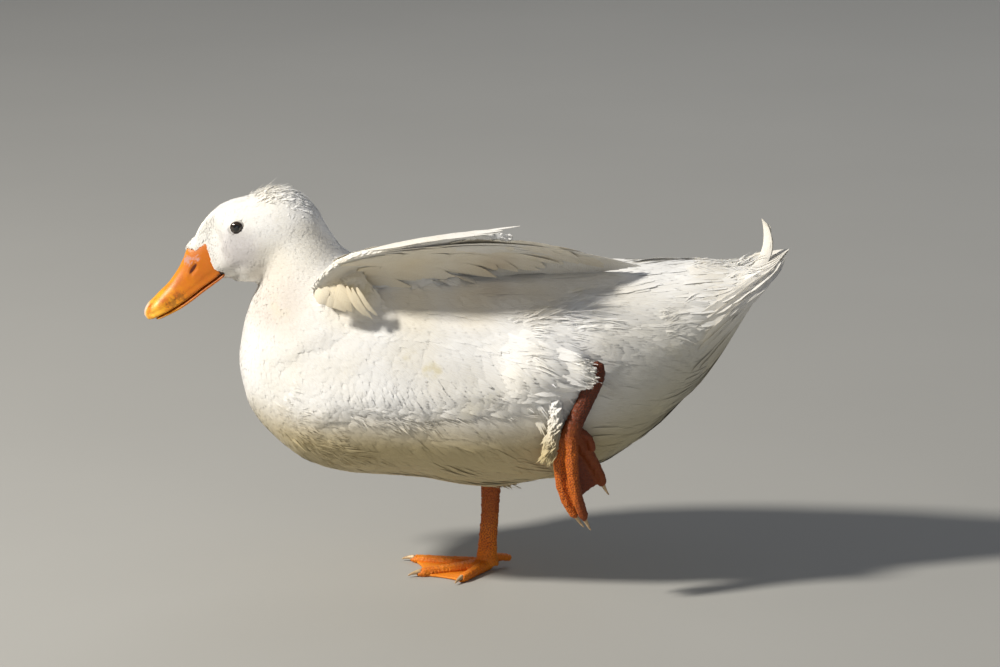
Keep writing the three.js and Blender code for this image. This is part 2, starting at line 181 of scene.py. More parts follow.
def cutCopy(name, nodeName, swell, endX):
    # a grown copy of one CAD node that stops at a flat cut across x
    obj = mergedCopy(name, [nodeName], swell)
    activate(obj)
    bpy.ops.object.mode_set(mode="EDIT")
    bpy.ops.mesh.select_all(action="SELECT")
    bpy.ops.mesh.bisect(plane_co=(endX, 0, 0), plane_no=(1, 0, 0), clear_outer=True, use_fill=True)
    bpy.ops.object.mode_set(mode="OBJECT")
    return obj


def turnOutwards(obj):
    activate(obj)
    bpy.ops.object.mode_set(mode="EDIT")
    bpy.ops.mesh.select_all(action="SELECT")
    bpy.ops.mesh.normals_make_consistent(inside=False)
    bpy.ops.object.mode_set(mode="OBJECT")


def softened(obj, name, weight, rounds):
    # smooths a piece by a weight for each vertex
    group = obj.vertex_groups.new(name=name)
    for i in np.flatnonzero(weight > 0.02).tolist():
        group.add([i], weight[i], "REPLACE")
    applyModifier(obj, "SMOOTH", factor=0.5, iterations=rounds, vertex_group=name)


def joined(obj, others):
    activate(obj)
    for other in others:
        other.select_set(True)
    bpy.ops.object.join()
    return obj


def remeshed(obj, voxel, rounds):
    applyModifier(obj, "REMESH", mode="VOXEL", voxel_size=voxel)
    applyModifier(obj, "SMOOTH", factor=0.5, iterations=rounds)
    obj.data.polygons.foreach_set("use_smooth", np.ones(len(obj.data.polygons), bool))
    return obj


def spreadNormals(obj, rounds):
    # each vertex's normal, averaged with its neighbours' again and again
    _, no = meshArrays(obj)
    ends = np.empty(len(obj.data.edges) * 2, np.int32)
    obj.data.edges.foreach_get("vertices", ends)
    a, b = ends.reshape(-1, 2).T
    for _ in range(rounds):
        total = np.stack([np.bincount(a, no[b, k], len(no)) + np.bincount(b, no[a, k], len(no)) for k in range(3)], 1)
        no = unit(no + unit(total))
    return no


def treeOf(obj, rounds):
    # a surface to search, with the normal of each of its faces
    mesh = obj.data
    normals = spreadNormals(obj, rounds)
    faces = [tuple(polygon.vertices) for polygon in mesh.polygons]
    shown = np.array([normals[list(face)].mean(0) for face in faces])
    return {"tree": BVHTree.FromObject(obj, bpy.context.evaluated_depsgraph_get()), "normals": unit(shown)}


def nearest(surface, points):
    # the nearest places on a surface, and its normals there
    flat = points.reshape(-1, 3)
    found = np.empty_like(flat)
    index = np.empty(len(flat), int)
    for i, p in enumerate(flat):
        place, _, face, _ = surface["tree"].find_nearest(Vector(p))
        found[i] = place
        index[i] = face
    return found.reshape(points.shape), surface["normals"][index].reshape(points.shape)


def pointTree(points):
    tree = KDTree(len(points))
    for i, p in enumerate(points):
        tree.insert(p, i)
    tree.balance()
    return tree


def inSurface(way, n):
    # a way laid flat into the surface with the normal n
    return unit(way - n * np.sum(way * n, axis=1, keepdims=True))


def scatter(points, spacing):
    # keeps points in their given order, none nearer to another than its own spacing
    tree = pointTree(points)
    dropped = np.zeros(len(points), bool)
    kept = []
    for i in range(len(points)):
        if dropped[i]:
            continue
        kept.append(i)
        for _, j, _ in tree.find_range(points[i], spacing[i]):
            dropped[j] = True
    return np.array(kept, int)


def finish(obj, material, replaced=()):
    obj.data.materials.clear()
    obj.data.materials.append(material)
    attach(obj, "root")
    if replaced:
        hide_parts(*replaced)
    count = len(obj.data.loops) - 2 * len(obj.data.polygons)
    print("stage:", obj.name, count, "triangles")
    return obj


# camera, floor and light

view = {"target": (0.0108, -0.020, 0.211), "elevation": 14.0, "distance": 4.0, "lens": 172.8, "sensor": 36.0}

tilt = math.radians(view["elevation"])
cameraData = bpy.data.cameras.new("camera")
cameraData.lens = view["lens"]
cameraData.sensor_width = view["sensor"]
cameraData.clip_end = 50
camera = linked("camera", cameraData)
camera.location = Vector(view["target"]) + Vector((0, -math.cos(tilt), math.sin(tilt))) * view["distance"]
camera.rotation_euler = (math.pi / 2 - tilt, 0, 0)
bpy.context.scene.camera = camera

studio = {
    "floor": (0.40, 0.395, 0.37),
    "floorSize": 14,
    "air": (0.60, 0.64, 0.74),
    "airStrength": 0.22,
    "aim": (0.0, -0.02, 0.16),  # every light looks here
    "lights": {
        "key": {"at": (-2.85, -1.25, 2.65), "size": 0.45, "power": 212, "tint": (1.0, 0.955, 0.88)},
        "fill": {"at": (0.6, -3.4, 1.2), "size": 2.4, "power": 7, "tint": (0.90, 0.93, 1.0)},
        "bounce": {"at": (-0.7, -2.4, 0.22), "size": 1.4, "power": 2.5, "tint": (1.0, 0.92, 0.76)},
        "rim": {"at": (1.0, 2.6, 2.2), "size": 1.8, "power": 15, "tint": (0.95, 0.97, 1.0)},
    },
}


def softLight(name, at, size, power, tint):
    data = bpy.data.lights.new(name, "AREA")
    data.shape = "DISK"
    data.size = size
    data.energy = power
    data.color = tint
    obj = linked(name, data)
    obj.location = at
    obj.rotation_euler = (Vector(studio["aim"]) - Vector(at)).to_track_quat("-Z", "Y").to_euler()


for lightName, values in studio["lights"].items():
    softLight(lightName, **values)

world = bpy.data.worlds.new("air")
bpy.context.scene.world = world
world.use_nodes = True
world.node_tree.nodes["Background"].inputs["Color"].default_value = (*studio["air"], 1)
world.node_tree.nodes["Background"].inputs["Strength"].default_value = studio["airStrength"]
bpy.context.scene.view_settings.view_transform = "Standard"

activate(None)
bpy.ops.mesh.primitive_plane_add(size=studio["floorSize"], location=(0, 0, 0))
floor = bpy.context.object
floor.name = "floor"
bpy.ops.object.mode_set(mode="EDIT")
bpy.ops.mesh.subdivide(number_cuts=3)
bpy.ops.object.mode_set(mode="OBJECT")
floor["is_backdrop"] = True


# materials

def newMaterial(name):
    material = bpy.data.materials.new(name)
    material.use_nodes = True
    return material, material.node_tree, material.node_tree.nodes["Principled BSDF"]


def addNode(tree, kind, **values):
    node = tree.nodes.new(kind)
    for key, value in values.items():
        if hasattr(node, key):
            setattr(node, key, value)
        else:
            node.inputs[key.replace("_", " ")].default_value = value
    return node


def feed(tree, socket, value):
    if isinstance(value, (int, float)):
        socket.default_value = value
    elif isinstance(value, tuple):
        socket.default_value = value if len(value) == len(socket.default_value) else (*value, 1)
    else:
        tree.links.new(value, socket)


def ramp(tree, source, *stops):
    node = tree.nodes.new("ShaderNodeValToRGB")
    band = node.color_ramp
    while len(band.elements) < len(stops):
        band.elements.new(0.5)
    for element, (place, tone) in zip(band.elements, stops):
        element.position = place
        element.color = (tone, tone, tone, 1) if isinstance(tone, (int, float)) else (*tone, 1)
    tree.links.new(source, node.inputs["Fac"])
    return node.outputs["Color"]


def mixed(tree, amount, first, second, blend="MIX"):
    node = tree.nodes.new("ShaderNodeMix")
    node.data_type = "RGBA"
    node.blend_type = blend
    for socket, value in ((node.inputs[0], amount), (node.inputs[6], first), (node.inputs[7], second)):
        feed(tree, socket, value)
    return node.outputs[2]


def maths(tree, operation, first, second=0.5):
    node = tree.nodes.new("ShaderNodeMath")
    node.operation = operation
    feed(tree, node.inputs[0], first)
    feed(tree, node.inputs[1], second)
    return node.outputs[0]


def vectorMaths(tree, operation, first, second, output=0):
    node = tree.nodes.new("ShaderNodeVectorMath")
    node.operation = operation
    feed(tree, node.inputs[0], first)
    feed(tree, node.inputs[1], second)
    return node.outputs[output]


def noise(tree, source, scale, detail=2.0, roughness=0.5):
    node = addNode(tree, "ShaderNodeTexNoise", Scale=scale, Detail=detail, Roughness=roughness)
    tree.links.new(source, node.inputs["Vector"])
    return node.outputs["Fac"]


def fade(tree, source, low, high):
    # 0 at low, 1 at high, smooth between
    node = tree.nodes.new("ShaderNodeMapRange")
    node.interpolation_type = "SMOOTHSTEP"
    node.inputs["From Min"].default_value = low
    node.inputs["From Max"].default_value = high
    tree.links.new(source, node.inputs["Value"])
    return node.outputs[0]


def ownPlace(tree):
    # a place in the piece's own space, and its x, y and z
    place = addNode(tree, "ShaderNodeTexCoord").outputs["Object"]
    split = tree.nodes.new("ShaderNodeSeparateXYZ")
    tree.links.new(place, split.inputs[0])
    return place, split.outputs


def hypotenuse(tree, a, b):
    return maths(tree, "SQRT", maths(tree, "ADD", maths(tree, "MULTIPLY", a, a), maths(tree, "MULTIPLY", b, b)))


def flesh(shader, weight, radius):
    shader.inputs["Subsurface Weight"].default_value = weight
    shader.inputs["Subsurface Radius"].default_value = radius
    shader.inputs["Subsurface Scale"].default_value = 1.0


def bumped(tree, shader, height, strength, distance):
    bump = addNode(tree, "ShaderNodeBump", Strength=strength, Distance=distance)
    tree.links.new(height, bump.inputs["Height"])
    tree.links.new(bump.outputs["Normal"], shader.inputs["Normal"])


def newGroup(name, inputs, outputs):
    group = bpy.data.node_groups.new(name, "ShaderNodeTree")
    for key, value in inputs.items():
        socket = group.interface.new_socket(key, in_out="INPUT", socket_type="NodeSocketFloat")
        socket.default_value = value
    for key, kind in outputs.items():
        group.interface.new_socket(key, in_out="OUTPUT", socket_type=kind)
    return group, group.nodes.new("NodeGroupInput").outputs, group.nodes.new("NodeGroupOutput").inputs


def useGroup(tree, group, **values):
    node = tree.nodes.new("ShaderNodeGroup")
    node.node_tree = group
    for key, value in values.items():
        feed(tree, node.inputs[key], value)
    return node.outputs


floorMaterial, tree, shader = newMaterial("floorPaper")
shader.inputs["Roughness"].default_value = 0.9
place = addNode(tree, "ShaderNodeTexCoord").outputs["Object"]
low = tuple(c * 0.97 for c in studio["floor"])
feed(tree, shader.inputs["Base Color"], ramp(tree, noise(tree, place, 3.0, 3.0), (0.3, low), (0.7, studio["floor"])))
floor.data.materials.append(floorMaterial)

plumage = {
    "white": (0.930, 0.925, 0.905),
    "cream": (0.885, 0.860, 0.795),
    # olive of the belly: partly dirt, partly painted shade under the body
    "belly": (0.52, 0.41, 0.18),
    "stain": (0.66, 0.55, 0.20),
    "dirt": (0.82, 0.74, 0.50),
    "dirtShare": 0.25,
    "groove": (0.93, 0.91, 0.87),  # painted shade between the barbs, as a share of the colour
    "stains": [
        # x, y, z, size
        (-0.067, -0.104, 0.214, 0.013), (-0.045, -0.104, 0.201, 0.015), (-0.006, -0.092, 0.148, 0.020),
        (-0.030, -0.090, 0.140, 0.016), (-0.108, -0.085, 0.262, 0.022),
    ],
    # painted light: places tinted with the colour of their light or shade
    "paintedShadeAndBounce": [
        # x, y, z, size, share, tint
        # painted warm bounce light under the lifted wing and on the flank in its shadow
        (-0.110, -0.092, 0.262, 0.042, 0.60, (0.88, 0.77, 0.54)),
        (-0.060, -0.092, 0.262, 0.042, 0.60, (0.88, 0.77, 0.54)),
        (-0.010, -0.085, 0.262, 0.042, 0.65, (0.86, 0.74, 0.52)),
        (0.040, -0.078, 0.262, 0.040, 0.50, (0.86, 0.76, 0.56)),
        # painted shade in the hollow between the wing and the body
        (0.010, -0.066, 0.272, 0.026, 0.40, (0.55, 0.40, 0.22)),
        # painted warm bounce light under the jaw, on the near side only
        (-0.180, -0.046, 0.276, 0.030, 0.45, (0.90, 0.83, 0.68)),
        # lavender-grey painted shade on both cheeks
        (-0.207, -0.048, 0.288, 0.030, 0.62, (0.56, 0.52, 0.53)),
        (-0.207, 0.008, 0.288, 0.030, 0.62, (0.56, 0.52, 0.53)),
        # painted shade on both sides of the neck
        (-0.170, -0.056, 0.244, 0.044, 0.62, (0.60, 0.52, 0.45)),
        (-0.170, 0.016, 0.244, 0.044, 0.62, (0.60, 0.52, 0.45)),
        # olive painted shade under the tail and rump
        (0.140, midY, 0.155, 0.125, 0.80, (0.46, 0.42, 0.27)),
        (0.192, midY, 0.205, 0.078, 0.75, (0.50, 0.47, 0.36)),
    ],
}


def markingsAndShadeGroup():
    # the tints that skin and feathers share, by their place on the bird: markings, stains and dirt, with painted shade
    # and painted bounce light
    group, given, out = newGroup("featherMarkingsAndPaintedShade", {"Dirt": 0.3}, {"Color": "NodeSocketColor"})
    place, axes = ownPlace(group)
    colour = ramp(group, noise(group, place, 15.0, 3.0), (0.36, plumage["cream"]), (0.55, plumage["white"]))
    # darker and olive towards the bottom of the body: partly dirt, partly painted shade
    belly = fade(group, axes["Z"], 0.174, 0.128)
    colour = mixed(group, maths(group, "MULTIPLY", belly, 0.90), colour, plumage["belly"])
    for x, y, z, size, share, tone in plumage["paintedShadeAndBounce"]:
        near = fade(group, vectorMaths(group, "DISTANCE", place, (x, y, z), 1), size, size * 0.25)
        colour = mixed(group, maths(group, "MULTIPLY", near, share), colour, tone)
    patches = noise(group, place, 90.0, 3.0)
    for x, y, z, size in plumage["stains"]:
        near = fade(group, vectorMaths(group, "DISTANCE", place, (x, y, z), 1), size, size * 0.2)
        mask = fade(group, maths(group, "MULTIPLY", near, patches), 0.22, 0.55)
        colour = mixed(group, maths(group, "MULTIPLY", mask, 0.5), colour, plumage["stain"])
    dirt = fade(group, noise(group, place, 24.0, 4.0, 0.6), 0.60, 0.74)
    dirt = maths(group, "MULTIPLY", dirt, given["Dirt"])
    group.links.new(mixed(group, dirt, colour, plumage["dirt"]), out["Color"])
    return group


def barbsGroup():
    # barbs that leave the shaft at a slant, read from each vane's own map in metres
    outputs = {"Height": "NodeSocketFloat", "Shade": "NodeSocketFloat"}
    group, given, out = newGroup("vaneBarbs", {"Slant": 0.3, "Scale": 1500.0}, outputs)
    vaneMap = group.nodes.new("ShaderNodeUVMap")
    vaneMap.uv_map = "vane"
    split = group.nodes.new("ShaderNodeSeparateXYZ")
    group.links.new(vaneMap.outputs[0], split.inputs[0])
    away = maths(group, "ABSOLUTE", split.outputs["Y"])
    line = maths(group, "SUBTRACT", away, maths(group, "MULTIPLY", split.outputs["X"], given["Slant"]))
    barb = addNode(group, "ShaderNodeTexNoise", noise_dimensions="1D", Scale=1.0, Detail=2.0)
    group.links.new(maths(group, "MULTIPLY", line, given["Scale"]), barb.inputs["W"])
    group.links.new(barb.outputs["Fac"], out["Height"])
    group.links.new(fade(group, barb.outputs["Fac"], 0.30, 0.52), out["Shade"])
    return group


markingsAndShade = markingsAndShadeGroup()
barbs = barbsGroup()


def featherMaterial(name, roughness, slant, barbScale, depth, tint=(1, 1, 1)):
    material, tree, shader = newMaterial(name)
    vane = useGroup(tree, barbs, Slant=slant, Scale=barbScale)
    colour = useGroup(tree, markingsAndShade, Dirt=plumage["dirtShare"])["Color"]
    colour = mixed(tree, 1.0, colour, tint, "MULTIPLY")
    # the colour is darker in the grooves between the barbs: painted shade
    colour = mixed(tree, 1.0, colour, mixed(tree, vane["Shade"], plumage["groove"], (1, 1, 1)), "MULTIPLY")
    feed(tree, shader.inputs["Base Color"], colour)
    shader.inputs["Roughness"].default_value = roughness
    shader.inputs["Specular IOR Level"].default_value = 0.25
    flesh(shader, 0.10, (0.005, 0.0042, 0.003))
    shader.inputs["Sheen Weight"].default_value = 0.15
    shader.inputs["Sheen Roughness"].default_value = 0.6
    bumped(tree, shader, vane["Height"], depth, 0.0004)
    return material


plumageMaterial = featherMaterial("softPlumage", 0.75, 0.22, 1500.0, 0.35)
vaneMaterial = featherMaterial("flightVanes", 0.55, 0.75, 1300.0, 0.45, (0.985, 0.965, 0.925))
# the under wing's cream tint is painted warm light, as from light through the feathers and off the body
underMaterial = featherMaterial("underWingVanes", 0.60, 0.7, 1300.0, 0.4, (0.97, 0.915, 0.80))
skinMaterial = featherMaterial("downSkin", 0.85, 0.2, 900.0, 0.1, (0.95, 0.90, 0.84))
print("stage: camera, lights, floor and feather materials")


# the shapes that the solids were drawn from, in millimetres

bodyTop = curve((-206, 197), (-200, 222), (-190, 238), (-175, 251), (-150, 264), (-115, 271), (-60, 272), (0, 268),
                (80, 266), (144, 269), (180, 273), (204, 269), (225, 272), (240, 277.5), (251, 281.5))
bodyBottom = curve((-206, 184), (-200, 158), (-190, 139.5), (-175, 122.5), (-150, 104), (-115, 94.5), (-60, 92),
                   (-8, 83), (15, 83), (40, 87.5), (80, 97), (111, 110), (144, 139), (170, 162), (190, 190),
                   (204, 214), (225, 250), (240, 266), (251, 279.5))
bodyHalf = curve((-206, 8), (-200, 31), (-190, 44), (-175, 56), (-150, 69), (-115, 79), (-60, 85), (0, 86), (40, 84),
                 (80, 77), (111, 69), (144, 59), (170, 52), (190, 48), (204, 46), (225, 38), (240, 25), (251, 6))
bodyWidest = curve((-206, 190), (-115, 178), (0, 170), (80, 178), (144, 206), (190, 236), (225, 262), (251, 280.5))


def bodyShell(x, degrees, out):
    # a place on the trunk: 0 is its right side, 90 its top, 180 its left side
    turn = np.radians(degrees)
    c, s = np.cos(turn), np.sin(turn)
    level = bodyWidest(x)
    tall = np.where(s > 0, bodyTop(x) - level, level - bodyBottom(x))
    y = midY / mm + (bodyHalf(x) + out) * np.sign(c) * np.abs(c) ** 0.93
    z = level + (tall + out) * np.sign(s) * np.abs(s) ** 0.93
    return np.stack([x + 0 * y, y, z], -1) * mm


edgeY = curve((-144, -97), (-130, -103), (-97, -109), (-50, -114), (0, -108), (43, -90), (92, -64), (127, -44))
edgeZ = curve((-144, 268), (-140, 276), (-130, 286), (-117, 296), (-97, 302), (-50, 312), (-10, 317), (20, 312),
              (43, 306), (92, 289), (127, 276))
wingChord = curve((-144, 14), (-138, 34), (-125, 54), (-95, 74), (-40, 84), (20, 74), (70, 52), (110, 28), (127, 5))
wingTilt = curve((-144, 52), (-100, 44), (-30, 40), (60, 36), (127, 28))
wingCamber = curve((-144, 1), (-110, 6), (0, 7), (70, 4), (127, 0.5))


def wingPlace(x, along, lift):
    # a place on the lifted wing's blade and the way up from it; along runs from its front edge to its back edge
    lean = np.radians(wingTilt(x))
    zero = 0 * lean
    inward = np.stack([zero, np.cos(lean), -np.sin(lean)], -1)
    upward = np.stack([zero, np.sin(lean), np.cos(lean)], -1)
    nose = np.stack([x + zero, edgeY(x), edgeZ(x)], -1)
    bow = wingCamber(x) * np.sin(math.pi * along)
    steep = wingCamber(x) * math.pi * np.cos(math.pi * along) / wingChord(x)
    place = nose + inward * (along * wingChord(x))[..., None] + upward * (bow + lift)[..., None]
    return place * mm, unit(upward - inward * steep[..., None])


billCorner = np.array([-0.221, midY, 0.2631])
billAhead = np.array([-0.8796, 0, -0.4756])
billRise = np.array([-0.4756, 0, 0.8796])
billRoot = np.array([-0.232, midY, 0.276])  # the lie of the feathers starts here
culmen = curve((-7, 38), (2, 36.6), (12.4, 33), (22, 25.4), (32, 18.6), (44, 13), (57, 9), (67, 5.2), (71.5, 2),
               (73, -0.8))
lip = curve((-7, 1.5), (3, 0), (19, -2.5), (34, -5.2), (47, -6.3), (62, -6.4), (71, -5.6), (73, -3.2))
billHalf = curve((-7, 13.5), (0, 14), (15, 13), (30, 12), (45, 12.6), (57, 14), (64, 13.2), (69, 9.8), (72, 6),
                 (73, 3))
billPower = curve((-7, 1.2), (20, 1.1), (45, 0.85), (73, 0.8))
jawDepth = curve((-5, 1.5), (4, 1.9), (40, 1.8), (60, 1.2), (66, 0.7))


def billPlace(s, h, y=0.0):
    side = np.asarray(y, float)
    ahead, rise = np.asarray(s, float)[..., None], np.asarray(h, float)[..., None]
    place = billCorner + billAhead * ahead * mm + billRise * rise * mm
    return place + np.array([0, 1, 0]) * (side * mm)[..., None]


eyeCentre = {"x": -0.2063, "side": 0.0196, "z": 0.3068, "radius": 0.0066}


def pastBillEdge(p):
    # how far beyond the edge of the face's feathers a place is, in millimetres
    ahead = (p - billCorner) @ billAhead / mm
    rise = (p - billCorner) @ billRise / mm
    side = np.abs(p[:, 1] - midY) / mm
    edge = np.interp(rise, [-8, -3, 0, 2, 4.2, 8, 15, 23.7, 33.6, 36],
                     [2, 0, -3.4, -4.0, -1.4, 1.2, 1.2, -0.7, -4, -4])
    wedge = np.interp(side, [0, 3, 4.8, 6.6, 7.1, 7.4], [16.5, 15.2, 13, 10.5, 7.3, -4])
    edge = np.maximum(edge, np.where(rise > 22, wedge, edge))
    return np.where((np.linalg.norm(p - billRoot, axis=-1) < 0.07) & (rise > -11), ahead - edge, -99)


def billFit(p, share, proud, raised=0.0):
    # moves places in towards the bill's own outline by a share of the way, or out to stand over it
    ahead = np.clip((p - billCorner) @ billAhead / mm, -7, 70)
    rise = (p - billCorner) @ billRise / mm
    side = (p[:, 1] - midY) / mm
    rim = lip(ahead) + 2.2
    tall = np.where(rise > rim, culmen(ahead) - rim, 6.4)
    power = 2 / billPower(ahead)
    size = (np.abs(side) / billHalf(ahead)) ** power + (np.abs(rise - rim) / tall) ** power
    size = np.maximum(size, 1e-6) ** (1 / power)
    far = np.maximum(np.hypot(side, rise - rim), 3)
    soft = 0.09
    scale = 1 - soft * np.log1p(np.exp(np.clip((1 - 1 / size - proud / far) / soft, -40, 40))) * share
    scale = scale + np.maximum(1 / size + 0.7 / far - scale, 0) * (size > 0.6) * raised
    moved = np.zeros_like(p)
    moved[:, 1] = side * (scale - 1)
    return p + (moved + billRise * ((rise - rim) * (scale - 1))[:, None]) * mm


# skin

skin = {
    "nodes": ["trunk", "neck", "head", "thigh_left", "wing_left_arm", "wing_left_hand", "wing_right"],
    "voxel": 0.0018,
    "smooth": 10,
    "depth": {"trunk": 0.0020, "neck": 0.0015, "head": 0.0010, "wing": 0.0011, "tail": 0.0050},
    "tailEnd": 0.236,
    # along the bill, radius
    "foreheadPad": [(-2, 5.5), (1, 5.2), (4, 4.6), (7, 3.8), (9.5, 3.2), (12, 2.8), (14.5, 2.4), (16.5, 2.0)],
    "ledge": 0.0034,
    "webEnd": -0.022,
    "swell": 0.0003,
    "webSwell": 0.0011,
    "napeRounds": 60,
    "faceRounds": 24,
    "trunkRounds": 40,
    "waviness": 0.0007,
    "keptFaces": 0.72,
    "normalRounds": 20,
}

throat = np.array([-0.190, midY, 0.2555])
headWay = unit(np.array([-0.0465, 0, 0.057]))
breastTop = np.array([-0.2055, midY, 0.204])
neckWay = unit(np.array([-0.072, 0, 0.086]))
ledgeLevel = curve((-150, 150), (-125, 160), (-105, 166), (-70, 166), (-52, 161), (-44, 166), (-30, 169), (10, 170),
                   (28, 178), (36, 183), (60, 181), (80, 190), (110, 205), (130, 215))


def wingShare(p):
    # how far along the wing's width a place is, and how far above its blade, in millimetres
    x = p[:, 0] / mm
    lean = np.radians(wingTilt(x))
    out, high = p[:, 1] / mm - edgeY(x), p[:, 2] / mm - edgeZ(x)
    along = (out * np.cos(lean) - high * np.sin(lean)) / wingChord(x)
    bow = wingCamber(x) * np.sin(math.pi * np.clip(along, 0, 1))
    return along, out * np.sin(lean) + high * np.cos(lean) - bow


def onWing(p):
    # 1 on the lifted wing, 0 on the body
    x = p[:, 0] / mm
    along, lift = wingShare(p)
    level = bodyWidest(x)
    tall = np.where(p[:, 2] / mm > level, bodyTop(x) - level, level - bodyBottom(x))
    clear = ((p[:, 1] - midY) / mm / bodyHalf(x)) ** 2 + ((p[:, 2] / mm - level) / tall) ** 2
    near = ease(17, 13, np.abs(lift)) * ease(1.05, 0.95, along) * (x < 130) * (p[:, 1] < -0.045)
    return near * ease(1.06, 1.16, clear)


def headSide(p):
    return ease(-0.014, 0.010, (p - throat) @ headWay) * ease(0.02, -0.06, p[:, 0])


def neckSide(p):
    return ease(-0.012, 0.012, (p - breastTop) @ neckWay) * ease(0.02, -0.06, p[:, 0])


def coatDepth(p):
    depth = skin["depth"]
    d = np.full(len(p), depth["trunk"])
    d = d + (depth["neck"] - d) * neckSide(p)
    d = d + (depth["head"] - d) * headSide(p)
    d = d + (depth["tail"] - d) * ease(0.17, 0.21, p[:, 0])
    return d + (depth["wing"] - d) * onWing(p)


def flankLedge(p):
    # flank feathers overhang the belly in lobes
    level = ledgeLevel(p[:, 0] / mm) * mm
    side = ease(0.030, 0.055, np.abs(p[:, 1] - midY)) * ease(-0.158, -0.125, p[:, 0]) * ease(0.125, 0.085, p[:, 0])
    step = ease(-0.0042, 0.0034, p[:, 2] - level) * ease(0.048, 0.006, p[:, 2] - level)
    return side * step * skin["ledge"] * (1 - onWing(p))


extras = [cutCopy("stub", "tail", skin["swell"], skin["tailEnd"]),
          cutCopy("web", "wing_left_secondaries", skin["webSwell"], skin["webEnd"])]
pads = [(s, radius, side) for s, radius in skin["foreheadPad"] for side in ((-4.4, 0, 4.4) if s < 11 else (0,))]
for s, radius, side in pads:
    activate(None)
    rim = lip(s) + 2.2
    outline = (culmen(s) - rim) * (1 - (abs(side) / billHalf(s)) ** (2 / billPower(s))) ** (billPower(s) / 2)
    centre = billPlace(s, rim + outline - radius + 0.9 - 0.5 * ease(6, 16, s), side * 0.9)
    bpy.ops.mesh.primitive_ico_sphere_add(subdivisions=3, radius=radius * mm, location=centre)
    bpy.ops.object.transform_apply(location=True)
    extras.append(bpy.context.object)
envelope = joined(mergedCopy("envelope", skin["nodes"] + ["eye_left", "eye_right"], skin["swell"]), extras)
remeshed(envelope, skin["voxel"], skin["smooth"])
envelopeCo, _ = meshArrays(envelope)
near = ease(0.036, 0.016, np.hypot(envelopeCo[:, 0] + 0.152, envelopeCo[:, 2] - 0.276))
softened(envelope, "nape", near, skin["napeRounds"])
envelopeCo, _ = meshArrays(envelope)
beyond = pastBillEdge(envelopeCo)
rise = (envelopeCo - billCorner) @ billRise / mm
aside = np.abs(envelopeCo[:, 1] - midY) / mm
onBrow = ease(20, 26, rise) * ease(9, 6, aside)
behind = np.clip(-beyond, 0, 40)
flare = 0.9 + behind * np.interp(rise, [0, 10, 24], [0.40, 0.46, 0.30])
fitEnd = np.interp(rise, [10, 24, 31], [24, 18, 6]) + 12 * ease(4, 10, aside) * ease(24, 31, rise)
envelopeCo = billFit(envelopeCo, ease(1, 0.6, behind / fitEnd) * ease(-14, -8, rise), flare,
                     onBrow * ease(0.7, -0.7, beyond) * (beyond > -23))
moveVertices(envelope, envelopeCo)
faceWeight = ease(-33, -21, beyond) * (beyond < 8) * ease(-26, -18, rise) * ease(3, 9, aside)
trunkWeight = (1 - headSide(envelopeCo)) * (1 - onWing(envelopeCo))
softened(envelope, "face", faceWeight, skin["faceRounds"])
softened(envelope, "trunk", trunkWeight, skin["trunkRounds"])
envelopeCo, envelopeNo = meshArrays(envelope)
softer = wave(envelopeCo, 0.045, 3) * skin["waviness"] * (1 - headSide(envelopeCo)) * (1 - onWing(envelopeCo))
envelopeCo = envelopeCo + envelopeNo * softer[:, None]
moveVertices(envelope, envelopeCo)
envelopeCo, envelopeNo = meshArrays(envelope)

body = linked("skin", envelope.data.copy())
bare = ease(-0.6, 0.8, pastBillEdge(envelopeCo))
moveVertices(body, billFit(envelopeCo - envelopeNo * coatDepth(envelopeCo)[:, None], bare, -2.6))
applyModifier(body, "SMOOTH", factor=0.5, iterations=4)
applyModifier(body, "DECIMATE", ratio=skin["keptFaces"])
finish(body, skinMaterial, skin["nodes"])
moveVertices(envelope, envelopeCo + envelopeNo * flankLedge(envelopeCo)[:, None])
envelopeTree = treeOf(envelope, skin["normalRounds"])


# where each feather's patch lies on an unwrap of the skin

patchSize = 0.003
spine = {
    "reach": [0.0, 0.05, 0.10, 0.15, 0.22, 0.32, 0.42, 0.52],
    "x": [-0.232, -0.192, -0.163, -0.135, -0.070, 0.030, 0.130, 0.235],
    "z": [0.276, 0.292, 0.262, 0.225, 0.190, 0.178, 0.205, 0.262],
}


def reachOf(p):
    return np.linalg.norm(p - billRoot, axis=-1)


def skinUnwrap(p):
    reach = reachOf(p)
    cx = np.interp(reach, spine["reach"], spine["x"])
    cz = np.interp(reach, spine["reach"], spine["z"])
    ax = np.interp(reach + 0.02, spine["reach"], spine["x"]) - np.interp(reach - 0.02, spine["reach"], spine["x"])
    az = np.interp(reach + 0.02, spine["reach"], spine["z"]) - np.interp(reach - 0.02, spine["reach"], spine["z"])
    rise = ((p[:, 0] - cx) * -az + (p[:, 2] - cz) * ax) / np.maximum(np.hypot(ax, az), 1e-6)
    turn = np.arctan2(p[:, 1] - midY, rise) / (2 * math.pi) + 0.5
    return np.stack([0.01 + 0.60 * reach / 0.53, 0.01 + 0.98 * turn], 1)


def wingUnwrap(p):
    return np.stack([0.65 + 0.33 * (p[:, 0] + 0.16) / 0.34, 0.01 + 0.98 * (p[:, 1] + 0.14) / 0.25], 1)


# soft feathers: strands that share a root and part towards the tip

def strandTemplate(strips, rows, narrow=0.45, full=0.3, droop=0.28, taper=0.16, overlap=2.2):
    s = np.linspace(0, 1, rows)
    middle = np.linspace(-1, 1, strips)
    centre, place, column, flat = [], [], [], []
    half = overlap / strips
    for k, m in enumerate(middle):
        for value in s:
            spread = narrow + (1 - narrow) * min(1, value / full) ** 0.8
            thin = 1 - (1 - taper) * max(0, (value - 0.55) / 0.45) ** 1.2
            for side in (-1, 1):
                place.append(value * (1 - droop * m * m))
                centre.append(m * spread * 0.8 + side * half * thin * spread)
                flat.append(m + side * half)
                column.append(k)
    faces = []
    for k in range(strips):
        for r in range(rows - 1):
            a = (k * rows + r) * 2
            faces.append((a, a + 2, a + 3, a + 1))
    return {"s": np.array(place), "t": np.array(centre), "flat": np.array(flat), "column": np.array(column),
            "end": np.tile(np.repeat(s, 2), strips), "faces": np.array(faces), "strips": strips}


